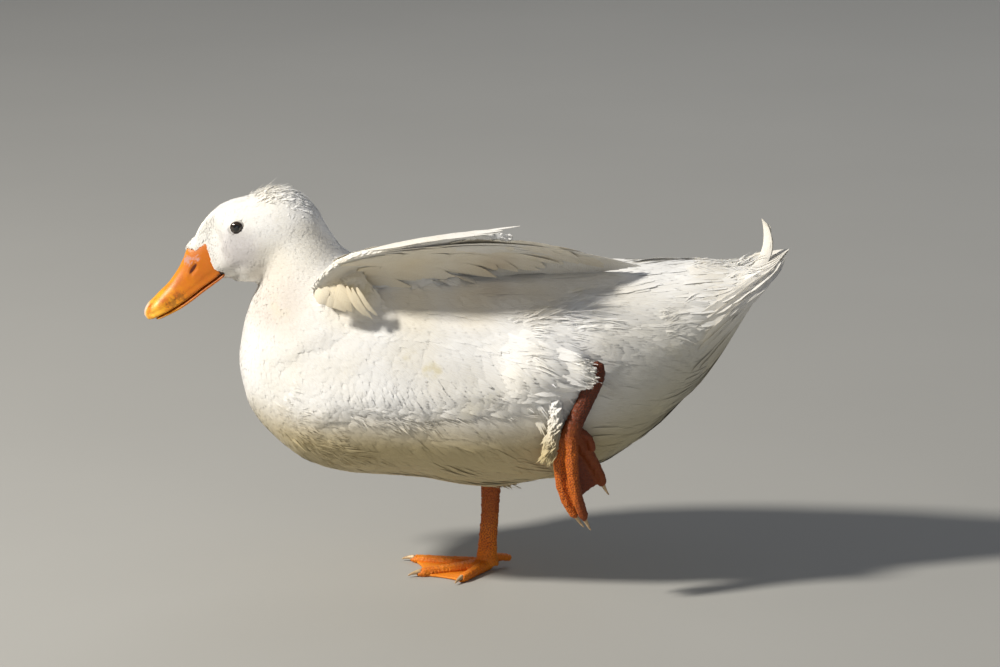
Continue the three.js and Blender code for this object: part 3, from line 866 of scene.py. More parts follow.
def softFeathers(name, roots, mids, tips, normals, widths, template, seed, cup=0.12, ragged=0.06, part=0.04,
                 twist=1.0):
    # many feathers as one mesh; each bends through its root, middle and tip
    rng = np.random.default_rng(seed)
    count, strips, column = len(roots), template["strips"], template["column"]
    end, flat = template["end"][None], template["flat"][None]
    s = template["s"][None] * (1 + (rng.normal(size=(count, strips)) * ragged)[:, column] * end ** 2)
    across = template["t"][None] + (rng.normal(size=(count, strips)) * part)[:, column] * end ** 2
    n0, n1, n2 = (n[:, None] for n in normals)
    p0, p1, p2 = roots[:, None], mids[:, None], tips[:, None]
    k = s[..., None]
    centre = p0 * ((1 - k) * (1 - 2 * k)) + p1 * (4 * k * (1 - k)) + p2 * (k * (2 * k - 1))
    ahead = unit(p0 * (4 * k - 3) + p1 * (4 - 8 * k) + p2 * (4 * k - 1))
    k = np.clip(k, 0, 1)
    up = unit(n0 * (1 - k) ** 2 + n1 * (2 * k * (1 - k)) + n2 * k ** 2)
    side = unit(np.cross(up, ahead))
    up = np.cross(ahead, side)
    w = widths[:, None] * 0.5
    lean = (rng.normal(size=(count, 1)) * 0.02 + (rng.normal(size=(count, strips)) * 0.012)[:, column] * end) * twist
    points = centre + side * (across * w)[..., None] + up * ((-cup * flat ** 2 + lean * flat) * w)[..., None]
    shown = unit(up + side * (flat * cup * 1.2)[..., None])
    size = points.shape[1]
    faces = (template["faces"][None] + (np.arange(count) * size)[:, None, None]).reshape(-1, 4)
    length = np.linalg.norm(tips - roots, axis=1)[:, None]
    patch = np.stack([template["end"] - 0.5, template["flat"] * 0.4], 1) * patchSize
    patch = (skinUnwrap(roots)[:, None, :] + patch[None]).reshape(-1, 2)
    shift = rng.random((count, 1)) * 2
    vane = np.stack([s * length + shift, across * w + 0 * shift], -1).reshape(-1, 2)
    return meshPiece(name, points.reshape(-1, 3), faces, shown.reshape(-1, 3), {"OFBake": patch, "vane": vane})


def surfaceSamples(obj, count, seed, weight):
    rng = np.random.default_rng(seed)
    mesh = obj.data
    mesh.calc_loop_triangles()
    tri = np.empty(len(mesh.loop_triangles) * 3, np.int32)
    mesh.loop_triangles.foreach_get("vertices", tri)
    tri = tri.reshape(-1, 3)
    co, no = meshArrays(obj)
    a, b, c = co[tri[:, 0]], co[tri[:, 1]], co[tri[:, 2]]
    area = np.linalg.norm(np.cross(b - a, c - a), axis=1) / 2
    chance = area * weight((a + b + c) / 3)
    picked = rng.choice(len(tri), size=count, p=chance / chance.sum())
    u, v = rng.random(count), rng.random(count)
    flip = u + v > 1
    u[flip], v[flip] = 1 - u[flip], 1 - v[flip]
    w = 1 - u - v
    points = a[picked] * w[:, None] + b[picked] * u[:, None] + c[picked] * v[:, None]
    normals = no[tri[picked, 0]] * w[:, None] + no[tri[picked, 1]] * u[:, None] + no[tri[picked, 2]] * v[:, None]
    return points, unit(normals)


coat = {
    "reach": [0.0, 0.010, 0.025, 0.050, 0.075, 0.100, 0.130, 0.170, 0.230, 0.330, 0.420, 0.53],
    "length": [0.0022, 0.0028, 0.0038, 0.0060, 0.0090, 0.0120, 0.015, 0.019, 0.024, 0.029, 0.032, 0.035],
    "spacing": [0.0009, 0.0010, 0.00115, 0.0015, 0.0021, 0.0027, 0.0034, 0.0042, 0.0049, 0.0056, 0.0060, 0.0060],
    "shape": 0.58,
    "samples": 300000,
    "eyeGap": 0.0062,
    "edgeGap": -0.3,  # millimetres behind the edge of the face's feathers
    "endX": 0.180,
    "rootShare": 0.85,
    "cup": 0.018,
    "part": 0.025,
    "twist": 0.45,
    "folded": 0.72,  # a feather that turns further round an edge is shortened
}


def lieOf(p, n):
    # feathers point away from the bill, sweep down the flank, and swirl a little
    way = unit(p - billRoot)
    flank = ease(-0.13, -0.03, p[:, 0]) * ease(0.16, 0.08, p[:, 0])
    way = way + np.array([[0, 0, -0.16]]) * flank[:, None]
    way = way + np.array([[0.9, 0, 0.0]]) * ease(-0.05, 0.12, p[:, 0])[:, None]
    wing = onWing(p)[:, None]
    way = way * (1 - wing) + np.array([[1.0, 0.12, 0.0]]) * wing
    swirl = wave(p, 0.055, 5)[:, None] * 0.16 + wave(p, 0.02, 6)[:, None] * 0.08
    way = way + np.cross(n, unit(way)) * swirl
    return inSurface(way, n)


def nearEye(p, margin):
    return np.hypot(p[:, 0] - eyeCentre["x"], p[:, 2] - eyeCentre["z"]) < margin


def atEdge(p):
    # 1 at the edge of the face's feathers, 0 well behind it
    return ease(-5.0, -1.0, pastBillEdge(p))


def rootSpacing(p):
    spacing = np.interp(reachOf(p), coat["reach"], coat["spacing"])
    return spacing * (1 - 0.60 * onWing(p)) * (1 - 0.36 * atEdge(p))


points, normals = surfaceSamples(envelope, coat["samples"], 11, lambda p: 1 / rootSpacing(p) ** 2)
keep = (pastBillEdge(points) < coat["edgeGap"]) & ~nearEye(points, coat["eyeGap"]) & (points[:, 0] < coat["endX"])
points, normals = points[keep], normals[keep]
kept = scatter(points, rootSpacing(points))
coatRoots, coatNormals = points[kept], normals[kept]
print("stage: feather roots", len(coatRoots))


def layFeathers(name, p, n, seed, template, length=1.0, width=1.0, ragged=0.05):
    # feathers that rise out of the skin and then hug the envelope
    rng = np.random.default_rng(seed)
    way = lieOf(p, n)

    def hugged():
        return *nearest(envelopeTree, p + way * (long * 0.45)[:, None]), *nearest(envelopeTree, p + way * long[:, None])

    long = np.interp(reachOf(p), coat["reach"], coat["length"]) * length * (1 - 0.35 * onWing(p))
    long = long * (1 + 0.12 * rng.normal(size=len(p)).clip(-2, 2)) * (1 - 0.40 * atEdge(p))
    long = np.where(nearEye(p + way * long[:, None], coat["eyeGap"]), long * 0.4, long)
    wide = np.maximum(long * coat["shape"] * width * (1 + 0.1 * rng.normal(size=len(p)).clip(-2, 2)), 0.0012)
    depth = coatDepth(p) * coat["rootShare"]
    roots = p - n * (depth + flankLedge(p))[:, None]
    tipN = hugged()[3]
    long = np.where(np.sum(n * tipN, axis=1) < coat["folded"], long * 0.45, long)
    mids, midN, tips, tipN = hugged()
    mids = mids - midN * (depth * 0.06)[:, None]
    tips = tips + tipN * (depth * 0.03 * rng.random(len(p)))[:, None]
    return softFeathers(name, roots, mids, tips, (n, midN, tipN), wide, template, seed + 1, coat["cup"], ragged,
                        coat["part"], coat["twist"])


wingness = onWing(coatRoots)
isHead = (headSide(coatRoots) > 0.45) & (wingness < 0.5)
isNeck = ~isHead & (neckSide(coatRoots) > 0.5) & (wingness < 0.5)
isWing = wingness >= 0.5
isBody = ~isHead & ~isNeck & ~isWing
fine = strandTemplate(4, 4, taper=0.2)
medium = strandTemplate(6, 4)
broad = strandTemplate(9, 4)

bodyX = coatRoots[:, 0]

for name, chosen, seed, template, extra in (
    ("headFeathers", isHead, 21, fine, {"ragged": 0.08, "width": 1.05}),
    ("neckFeathers", isNeck, 22, medium, {"ragged": 0.07, "width": 1.1}),
    ("breastFeathers", isBody & (bodyX < -0.06), 23, broad, {"width": 1.15}),
    ("flankFeathers", isBody & (bodyX >= -0.06) & (bodyX < 0.08), 24, broad, {"width": 0.95, "length": 1.35}),
    ("rumpFeathers", isBody & (bodyX >= 0.08), 25, broad, {"width": 0.85, "length": 1.25}),
    ("wingEdgeFeathers", isWing, 26, medium, {"length": 0.62, "width": 0.75, "ragged": 0.05}),
):
    piece = layFeathers(name, coatRoots[chosen], coatNormals[chosen], seed, template, **extra)
    finish(piece, plumageMaterial)


# long feathers: closed blades with a raised shaft

bladeThick = {"middle": 0.00022, "edge": 0.00006}


def alongPath(controls, rows):
    # a smooth line through three or more places for each feather: (count, places, 3) to (count, rows, 3)
    count = controls.shape[1]
    knots = np.linspace(0, 1, count)
    s = np.linspace(0, 1, rows)
    total = np.zeros((controls.shape[0], rows, 3))
    for i in range(count):
        share = np.ones(rows)
        for j in range(count):
            if j != i:
                share = share * (s - knots[j]) / (knots[i] - knots[j])
        total = total + controls[:, i:i + 1] * share[None, :, None]
    return total


def longFeathers(name, centres, ups, widths, seed, columns=9, cup=0.10, ragged=0.05, shaft=0.0007, lopsided=0.0,
                 tipAt=0.72, tipWidth=0.12, unwrap=wingUnwrap, splits=0.5):
    rng = np.random.default_rng(seed)
    count, rows = centres.shape[:2]
    s = np.linspace(0, 1, rows)
    t = np.array([-1, -0.62, -0.28, -0.07, 0, 0.07, 0.28, 0.62, 1]) if columns == 9 else np.linspace(-1, 1, columns)
    half = len(t) // 2
    ahead = unit(np.gradient(centres, axis=1))
    side = unit(np.cross(ups, ahead))
    up = np.cross(ahead, side)
    rounding = np.clip(1 - (np.clip(s - tipAt, 0, 1) / (1 - tipAt)) ** 2.2, 0, 1)
    outline = np.minimum(1, 0.35 + 2.6 * s) * np.sqrt(rounding)
    outline = np.maximum(outline, tipWidth)
    wide = widths[:, None] * 0.5 * outline[None]
    edges = 1 + rng.normal(size=(count, rows, 2)) * ragged
    edges = edges - 0.35 * (rng.random((count, rows, 2)) < 0.06 * splits) * (s[None, :, None] > 0.3)
    reach = np.where(t[None, None] < 0, edges[..., :1] * (1 - lopsided), edges[..., 1:] * (1 + lopsided))
    across = t[None, None] * reach * wide[..., None]
    back = np.abs(t[None, None]) ** 2 * wide[..., None] * 0.9 * ease(0.5, 1, s)[None, :, None]
    body = bladeThick["middle"] * (1 - np.abs(t) ** 2) + bladeThick["edge"]
    ridge = np.zeros(len(t))
    ridge[half] = shaft
    drop = -cup * (t ** 2)[None, None] * wide[..., None]
    middle = centres[:, :, None] + side[:, :, None] * across[..., None] + up[:, :, None] * drop[..., None]
    middle = middle - ahead[:, :, None] * back[..., None]
    ridgeHere = ridge[None, None] * (1 - 0.8 * s)[None, :, None]
    above = middle + up[:, :, None] * (body + ridgeHere * 0.4)[..., None]
    below = middle - up[:, :, None] * (body + ridgeHere)[..., None]
    lean = (cup * 1.6 * t)[None, None, :, None]
    normalAbove = unit(up[:, :, None] + side[:, :, None] * lean)
    normalBelow = -unit(up[:, :, None] + side[:, :, None] * lean)
    ring = len(t) * 2
    points = np.concatenate([above, below[:, :, ::-1]], 2)
    shown = np.concatenate([normalAbove * np.ones_like(above), (normalBelow * np.ones_like(above))[:, :, ::-1]], 2)
    r = np.arange(rows - 1)[:, None] * ring
    c = np.arange(ring)[None, :]
    d = (c + 1) % ring
    walls = np.stack([r + c, r + ring + c, r + ring + d, r + d], -1).reshape(-1, 4)
    k = np.arange(len(t) - 1)
    start = np.stack([k, k + 1, ring - 2 - k, ring - 1 - k], -1)
    end = start[:, ::-1] + (rows - 1) * ring
    pattern = np.concatenate([walls, start, end])
    size = rows * ring
    faces = (pattern[None] + (np.arange(count) * size)[:, None, None]).reshape(-1, 4)
    length = np.linalg.norm(centres[:, -1] - centres[:, 0], axis=1)
    u = np.concatenate([np.repeat(s[:, None], len(t), 1)] * 2, 1)
    v = np.concatenate([np.repeat(t[None], rows, 0), np.repeat(t[None, ::-1], rows, 0)], 1)
    patch = np.stack([u - 0.5, v * 0.45], -1).reshape(-1, 2) * patchSize
    patch = (unwrap(centres[:, 0])[:, None] + patch[None]).reshape(-1, 2)
    shift = rng.random(count)[:, None, None] * 2
    flat = np.concatenate([across, across[:, :, ::-1]], 2)
    vane = np.stack([u[None] * length[:, None, None] + shift, flat], -1).reshape(-1, 2)
    return meshPiece(name, points.reshape(-1, 3), faces, shown.reshape(-1, 3), {"OFBake": patch, "vane": vane})


def clearOf(tree, points, margin):
    # pushes places out of a surface until they stand clear of it
    found, normals = nearest(tree, points)
    height = np.sum((points - found) * normals, axis=-1)
    push = np.maximum(margin - height, 0) * (height > -0.035)
    points = points + normals * push[..., None]
    for _ in range(4):
        points[:, 1:-1] = points[:, 1:-1] * 0.5 + (points[:, :-2] + points[:, 2:]) * 0.25
    return points


def bladeLines(placeAt, rows):
    # a line for each feather and the way up along it, through four places from root to tip
    places, ups = zip(*(placeAt(share) for share in (0, 0.33, 0.67, 1)))
    return alongPath(np.stack(places, 1), rows), unit(alongPath(np.stack(ups, 1), rows))


leftWing = {"primaries": 10, "secondaries": 12, "primaryWidth": 18.0, "secondaryWidth": 21.0, "clear": 0.0012}


def wingFeathers(name, rootX, rootAlong, tipX, tipAlong, lift, widths, seed, rows=14, **settings):
    def placeAt(share):
        along = rootAlong + (tipAlong - rootAlong) * share ** 1.25
        return wingPlace(rootX + (tipX - rootX) * share, along, lift(share))

    centres, ups = bladeLines(placeAt, rows)
    return longFeathers(name, clearOf(envelopeTree, centres, leftWing["clear"]), ups, widths, seed, **settings)


f = np.linspace(0, 1, leftWing["primaries"])
piece = wingFeathers(
    "primaries", -60 - 60 * f, 0.16 - 0.10 * f, np.interp(f, [0, 0.5, 0.8, 0.9, 1], [70, 106, 125, 127.5, 123]),
    np.interp(f, [0, 0.5, 0.8, 0.9, 1], [1.02, 0.98, 0.82, 0.62, 0.36]), lambda s: (0.6 - 3.4 * f) * (1 - 0.5 * s),
    (leftWing["primaryWidth"] - 3 * f) * mm, 31, rows=20, lopsided=0.3, tipAt=0.8, tipWidth=0.10, ragged=0.04)
finish(piece, vaneMaterial, ["wing_left_primaries"])

f = np.linspace(0, 1, leftWing["secondaries"])
inner = np.linspace(0, 1, 6)
piece = wingFeathers(
    "secondaries", np.r_[-112 + 50 * f, -70 - 34 * inner], np.r_[0.28 + 0.28 * f, 0.62 + 0.16 * inner],
    np.r_[66 - 62 * f, 0 - 58 * inner], np.r_[1.03 + 0.05 * f, 1.10 + 0.10 * inner],
    lambda s: np.r_[1.4 + 2.2 * f, 3.8 + 1.0 * inner],
    leftWing["secondaryWidth"] * mm * np.r_[f * 0 + 1, inner * 0 + 1.15], 32, rows=16, lopsided=0.15, tipAt=0.75,
    tipWidth=0.3, ragged=0.05)
finish(piece, vaneMaterial, ["wing_left_secondaries"])


def coverRow(count, rootX, rootAlong, longX, longAlong, lift, width, seed):
    # one row of coverts along the wing, from its front to its back
    rng = np.random.default_rng(seed)
    f = (np.arange(count) + 0.5) / count
    x = rootX[0] + (rootX[1] - rootX[0]) * f + rng.normal(size=count) * 1.5
    a = rootAlong[0] + (rootAlong[1] - rootAlong[0]) * f
    reach = longX * (1 + 0.10 * rng.normal(size=count))
    return {"x": x, "a": a, "tipX": x + reach, "tipA": a + longAlong * (1 + 0.12 * rng.normal(size=count)),
            "lift": lift * np.ones(count) + rng.normal(size=count) * 0.25, "width": width * np.ones(count)}


def coverts(name, rows, sign, material, seed, **settings):
    # rows of short blades; sign is 1 on the upper side of the wing and -1 under it
    parts = {key: np.concatenate([row[key] for row in rows]) for key in rows[0]}
    curl = 0.2 * np.random.default_rng(seed).random(len(parts["x"]))
    piece = wingFeathers(
        name, parts["x"], parts["a"], parts["tipX"], parts["tipA"],
        lambda s: sign * parts["lift"] * (0.35 + 0.65 * s) + sign * curl * s ** 3,
        parts["width"] * mm, seed, rows=8, columns=7, shaft=0.00025, tipAt=0.55, tipWidth=0.25, ragged=0.07,
        **settings)
    return finish(piece, material)


underRows = [
    coverRow(15, (-118, 52), (0.16, 0.22), 52, 0.46, 2.0, 17, 41),
    coverRow(13, (-112, 10), (0.42, 0.50), 44, 0.36, 2.8, 18, 42),
    coverRow(17, (-124, 40), (0.11, 0.12), 34, 0.28, 3.4, 13, 43),
]
coverts("underCoverts", underRows, -1, underMaterial, 45, cup=-0.10)

upperRows = [
    coverRow(17, (-112, 4), (0.26, 0.34), 46, 0.40, 1.2, 24, 46),
    coverRow(17, (-122, -10), (0.19, 0.26), 36, 0.34, 1.5, 21, 47),
    coverRow(18, (-126, -20), (0.15, 0.20), 26, 0.22, 1.8, 17, 48),
]
coverts("upperCoverts", upperRows, 1, vaneMaterial, 49, cup=0.05, splits=0.2)

# broad soft feathers that lie over the underside
leaves = np.array([
    # root place, root share, tip place, tip share, lift, width
    (-84, 0.44, 8, 0.95, 4.6, 17), (-66, 0.44, 24, 0.80, 4.2, 13), (-44, 0.48, 60, 0.66, 3.8, 10),
    (-104, 0.48, -26, 0.86, 4.4, 16), (-118, 0.55, -62, 0.92, 4.0, 15), (-96, 0.30, -10, 0.56, 3.9, 12),
    (-20, 0.62, 44, 0.86, 3.4, 12)]).T
piece = wingFeathers("wingLeaves", leaves[0], leaves[1], leaves[2], leaves[3], lambda s: -leaves[4] * (0.5 + 0.5 * s),
                     leaves[5] * mm, 50, rows=16, cup=-0.12, shaft=0.0002, tipAt=0.45, tipWidth=0.08, ragged=0.02,
                     lopsided=0.1)
finish(piece, underMaterial)

loose = {
    "roots": np.array([(-96, -106, 301), (-84, -107, 303.5), (-70, -107, 306), (-58, -107, 308), (-44, -107, 310.5),
                       (-30, -107, 312)]),
    "middles": np.array([(-56, -111.5, 311.5), (-44, -112, 313.5), (-34, -112.5, 315), (-24, -112, 316.5),
                         (-12, -111.5, 318), (-2, -110, 319)]),
    "tips": np.array([(-20, -112, 316.5), (-10, -113, 317), (2, -113, 317.5), (11, -112, 318), (13, -111, 319.5),
                      (27, -109, 322.8)]),
    "width": np.array([8, 8.5, 8.5, 8, 6.5, 3.0]),
}
centres = alongPath(np.stack([loose["roots"], loose["middles"], loose["tips"]], 1) * mm, 12)
centres = clearOf(envelopeTree, centres, 0.0004)
ups = np.tile(unit(np.array([0, -0.30, 0.95])), (6, 12, 1))
piece = longFeathers("looseCoverts", centres, ups, loose["width"] * mm, 51, columns=7, shaft=0.0003, tipAt=0.35,
                     tipWidth=0.05, ragged=0.03)
finish(piece, vaneMaterial, ["wing_left_coverts"])

armpit = {
    "roots": np.array([(-137, -94, 268), (-131, -94, 269), (-125, -94, 270), (-120, -95, 271), (-114, -97, 270),
                       (-110, -98, 269), (-106, -97, 269)]),
    "tips": np.array([(-126, -97, 255), (-121, -98, 251), (-115, -99, 249), (-110, -99, 249), (-98, -99, 245),
                      (-93, -98, 242.5), (-89, -97, 245)]),
    "width": np.array([13, 13, 13, 12, 4.6, 3.8, 4.4]),
}
middle = (armpit["roots"] + armpit["tips"]) / 2 + np.array([-1.5, -2.5, -1])
centres = alongPath(np.stack([armpit["roots"], middle, armpit["tips"]], 1) * mm, 12)
centres = clearOf(envelopeTree, centres, 0.0006)
ups = np.tile(unit(np.array([0.1, -1.0, -0.1])), (len(centres), 12, 1))
piece = longFeathers("armpitFeathers", centres, ups, armpit["width"] * mm, 52, columns=7, shaft=0.0005, tipAt=0.4,
                     tipWidth=0.08, ragged=0.03)
finish(piece, underMaterial)


# right wing, folded along the back

foldTop = curve((-158, 30), (-120, 58), (0, 66), (60, 64), (100, 60), (150, 54), (172, 50))
foldLow = curve((-158, 8), (-120, -12), (-40, -22), (40, -4), (100, 16), (150, 31), (172, 37))
foldClear = 0.0006


def foldedFeathers(name, rootX, rootShare, tipX, tipShare, out, widths, seed, rows=14, **settings):
    def placeAt(share):
        x = rootX + (tipX - rootX) * share
        part = rootShare + (tipShare - rootShare) * share
        turn = foldLow(x) + (foldTop(x) - foldLow(x)) * part
        found, normal = nearest(envelopeTree, bodyShell(x, turn, 0))
        return found + normal * (out * mm)[:, None] * (0.4 + 0.6 * share), normal

    centres, ups = bladeLines(placeAt, rows)
    return longFeathers(name, clearOf(envelopeTree, centres, foldClear), ups, widths * mm, seed, **settings)


f = np.linspace(0, 1, 7)
piece = foldedFeathers("foldedPrimaries", 28 + 20 * f, 0.10 + 0.10 * f, 126 + 16 * f, 0.20 + 0.30 * f, 0.4 + 0.2 * f,
                       13 - 2 * f, 61, rows=16, lopsided=0.2, tipAt=0.8, tipWidth=0.1, cup=0.16)
finish(piece, vaneMaterial)
f = np.linspace(0, 1, 13)
piece = foldedFeathers("foldedSecondaries", -62 + 34 * f, 0.06 + 0.80 * f, 84 + 40 * f - 26 * f ** 3, 0.10 + 0.80 * f,
                       1.2 + 0.6 * f, 21 + 4 * f, 62, rows=16, lopsided=0.15, tipAt=0.75, tipWidth=0.25, cup=0.18)
finish(piece, vaneMaterial)
coverJitter = np.random.default_rng(64)
parts = []
foldedRows = ((-68, 17, 62, 2.1), (-88, 16, 56, 2.3), (-108, 15, 50, 2.5), (-126, 13, 46, 2.6))
for row, (x0, count, long, out) in enumerate(foldedRows):
    g = (np.arange(count) + 0.5) / count
    start = x0 + 16 * g + 5 * (coverJitter.random(count) - 0.5)
    parts.append(np.stack([start, g, start + long, g, out + 0.3 * g, 25 - 1.5 * row + 0 * g], 1))
parts = np.concatenate(parts)
piece = foldedFeathers("foldedCoverts", *parts[:, :5].T, parts[:, 5], 63, rows=9, columns=7, shaft=0.0002, tipAt=0.6,
                       tipWidth=0.4, ragged=0.04, splits=0.2, cup=0.06)
finish(piece, vaneMaterial)


# tail fan and the drake's curl

tailFan = {"angles": [0, 9, 18, 28, 38, 49, 60, 72, 85], "root": 190, "long": 251, "short": 232, "width": 15}


def shellFeathers(name, rootX, rootTurn, tipX, tipTurn, out, widths, seed, rows=12, sink=0.0, **settings):
    def placeAt(share):
        x = rootX + (tipX - rootX) * share
        turn = rootTurn + (tipTurn - rootTurn) * share
        across = bodyShell(x, turn + 4, 0) - bodyShell(x, turn - 4, 0)
        along = bodyShell(x + 2, turn, 0) - bodyShell(x - 2, turn, 0)
        place = bodyShell(x, turn, out * (0.3 + 0.7 * share) - sink * (1 - share) ** 2)
        return place, unit(np.cross(along, across))

    centres, ups = bladeLines(placeAt, rows)
    return longFeathers(name, centres, ups, widths * mm, seed, unwrap=skinUnwrap, **settings)


a = np.array(tailFan["angles"], float)
turns = np.concatenate([90 + a, 90 - a[1:]])
g = np.abs(turns - 90) / 85
tipX = tailFan["long"] - (tailFan["long"] - tailFan["short"]) * g ** 1.3
piece = shellFeathers("tailFan", tailFan["root"] - 14 * g ** 2, turns, tipX, 90 + (turns - 90) * 0.92, 1.7 - 0.6 * g,
                      tailFan["width"] - 2 * g, 71, rows=14, tipAt=0.7, tipWidth=0.14, ragged=0.03, cup=0.12,
                      sink=2.4, splits=0.2)
finish(piece, vaneMaterial, ["tail"])

rng = np.random.default_rng(72)
rows = []
for x0, x1, count, out in ((164, 216, 34, 0.9), (178, 228, 30, 0.6), (192, 239, 26, 0.3), (200, 245, 20, -2.6)):
    turns = (np.arange(count) + rng.random(count) * 0.5) * 360 / count
    rows.append(np.stack([x0 + rng.normal(size=count) * 3, turns, x1 + rng.normal(size=count) * 3,
                          out + rng.random(count) * 0.2, 16 - 0 * turns], 1))
rootX, turns, tipX, out, wide = np.concatenate(rows).T
piece = shellFeathers("tailCoverts", rootX, turns, tipX, turns, out, wide, 73, rows=12, columns=7, shaft=0.0002,
                      tipAt=0.45, tipWidth=0.15, ragged=0.03, cup=0.10, sink=2.8)
finish(piece, vaneMaterial)

curl = {
    # places along each feather, then how far its face turns to the side
    "paths": [
        [(184, -33, 257), (206, -31, 263.5), (220, -24, 269.3), (229, -12, 279), (232, -5, 290), (231, -2, 300),
         (227.5, -1, 309.5)],
        [(184, -30, 258), (206, -28, 264.5), (221, -20, 270.2), (231, -9, 279.5), (234, -3, 289), (233.5, -1, 298),
         (230.5, 0, 306)],
        [(184, -35, 255), (206, -33, 262), (219, -26, 267.5), (227.5, -14, 276), (231.5, -7, 286), (232, -3, 293),
         (231, -2, 300)],
    ],
    "turns": [1.5, 1.2, 1.3],
    "width": np.array([10.0, 8.0, 8.0]),
}
controls = np.array(curl["paths"], float) * mm
controls[:, :, 1] += midY
centres = alongPath(controls, 18)
ahead = unit(np.gradient(centres, axis=1))
ups = np.cross(ahead, np.array([0.0, 1.0, 0.0]))
ups = unit(ups - np.array([0, 1.0, 0]) * np.array(curl["turns"])[:, None, None])
piece = longFeathers("curl", centres, ups, curl["width"] * mm, 74, unwrap=skinUnwrap, tipAt=0.30, tipWidth=0.05,
                     cup=0.25, ragged=0.02, shaft=0.0003)
finish(piece, vaneMaterial, ["tail_curl"])


# ruffled tufts, wisps and fluff that stand out from the coat

strands = {"root": 0.002, "tangle": 0.18, "waver": 0.06}


def wisps(centre, spreadOut, count, length, width, way, lift, seed):
    # loose strands in one patch of the coat: rooted near the centre, combed one way, their tips standing off
    rng = np.random.default_rng(seed)
    p = np.asarray(centre, float) + rng.normal(size=(count, 3)) * np.asarray(spreadOut)
    p, n = nearest(envelopeTree, p)
    long = length * (1 + 0.3 * rng.normal(size=count)).clip(0.4, 1.8)
    comb = np.asarray(way, float)[None] + rng.normal(size=(count, 3)) * strands["tangle"]
    comb = inSurface(comb, n)
    roots = p - n * strands["root"]
    stand = lift * (0.3 + rng.random(count))
    mids, midN = nearest(envelopeTree, p + comb * (long * 0.5)[:, None])
    mids = mids + midN * (stand * 0.3 * long)[:, None]
    tips, tipN = nearest(envelopeTree, p + comb * long[:, None])
    bend = rng.normal(size=(count, 3)) * strands["waver"]
    tips = tips + tipN * (stand * long)[:, None] + bend * long[:, None]
    return roots, mids, tips, n, midN, tipN, width * (0.6 + 0.8 * rng.random(count))


def wispPiece(name, patches, template, seed):
    rows = [wisps(*patch, seed + i) for i, patch in enumerate(patches)]
    roots, mids, tips, n, midN, tipN, wide = (np.concatenate([row[i] for row in rows]) for i in range(7))
    piece = softFeathers(name, roots, mids, tips, (n, midN, tipN), wide, template, seed + 50, 0.1, 0.2, 0.35)
    return finish(piece, plumageMaterial)


# each patch: centre, spread, count, length, width, way, lift
hair = strandTemplate(5, 4, narrow=0.6, full=0.2, droop=0.2, taper=0.12, overlap=1.3)
crest = [
    ((-0.190, midY, 0.332), (0.004, 0.010, 0.001), 240, 0.0072, 0.0016, (1, 0, 0.35), 0.30),
    ((-0.178, midY, 0.335), (0.006, 0.012, 0.001), 360, 0.0078, 0.0017, (1, 0, 0.1), 0.22),
    ((-0.163, midY, 0.333), (0.008, 0.013, 0.002), 330, 0.0076, 0.0017, (1, 0, -0.3), 0.14),
    ((-0.148, midY, 0.322), (0.007, 0.012, 0.004), 160, 0.0070, 0.0016, (0.8, 0, -0.8), 0.04),
    ((-0.126, midY, 0.286), (0.003, 0.008, 0.004), 40, 0.009, 0.0018, (0.6, 0, -0.8), 0.08),
]
tuft = strandTemplate(4, 4, narrow=0.6, full=0.2, droop=0.3, taper=0.12, overlap=1.6)
wispPiece("crest", crest, tuft, 81)

low = [
    ((-0.165, -0.078, 0.150), (0.010, 0.012, 0.014), 90, 0.016, 0.0046, (0.85, 0, -0.25), 0.05),
    ((-0.140, -0.082, 0.128), (0.014, 0.012, 0.010), 120, 0.018, 0.0046, (0.95, 0, -0.10), 0.05),
    ((-0.112, -0.096, 0.163), (0.012, 0.006, 0.003), 90, 0.015, 0.0050, (0.95, 0, -0.20), 0.06),
    ((-0.082, -0.098, 0.162), (0.012, 0.006, 0.003), 90, 0.015, 0.0050, (0.90, 0, -0.30), 0.07),
    ((-0.060, -0.098, 0.160), (0.008, 0.006, 0.003), 50, 0.013, 0.0048, (0.90, 0, -0.35), 0.07),
    ((-0.020, -0.099, 0.170), (0.018, 0.006, 0.003), 30, 0.015, 0.0050, (0.95, 0, -0.25), 0.04),
    ((0.012, -0.100, 0.173), (0.014, 0.006, 0.003), 26, 0.015, 0.0050, (0.95, 0, -0.30), 0.04),
]
wispPiece("flankWisps", low, hair, 82)

fluff = [
    ((0.048, -0.108, 0.176), (0.005, 0.005, 0.006), 80, 0.012, 0.0050, (0.5, -0.2, -0.8), 0.22),
    ((0.054, -0.106, 0.158), (0.004, 0.005, 0.008), 90, 0.012, 0.0050, (0.3, -0.2, -0.9), 0.28),
    ((0.057, -0.100, 0.138), (0.004, 0.006, 0.008), 90, 0.012, 0.0050, (0.3, -0.3, -0.9), 0.28),
    ((0.050, -0.106, 0.206), (0.014, 0.005, 0.012), 60, 0.030, 0.0085, (0.92, 0, -0.40), 0.015),
    ((0.003, -0.020, 0.086), (0.009, 0.012, 0.003), 200, 0.010, 0.0050, (0.2, 0, -1), 0.20),
]
wispPiece("thighFluff", fluff, hair, 83)

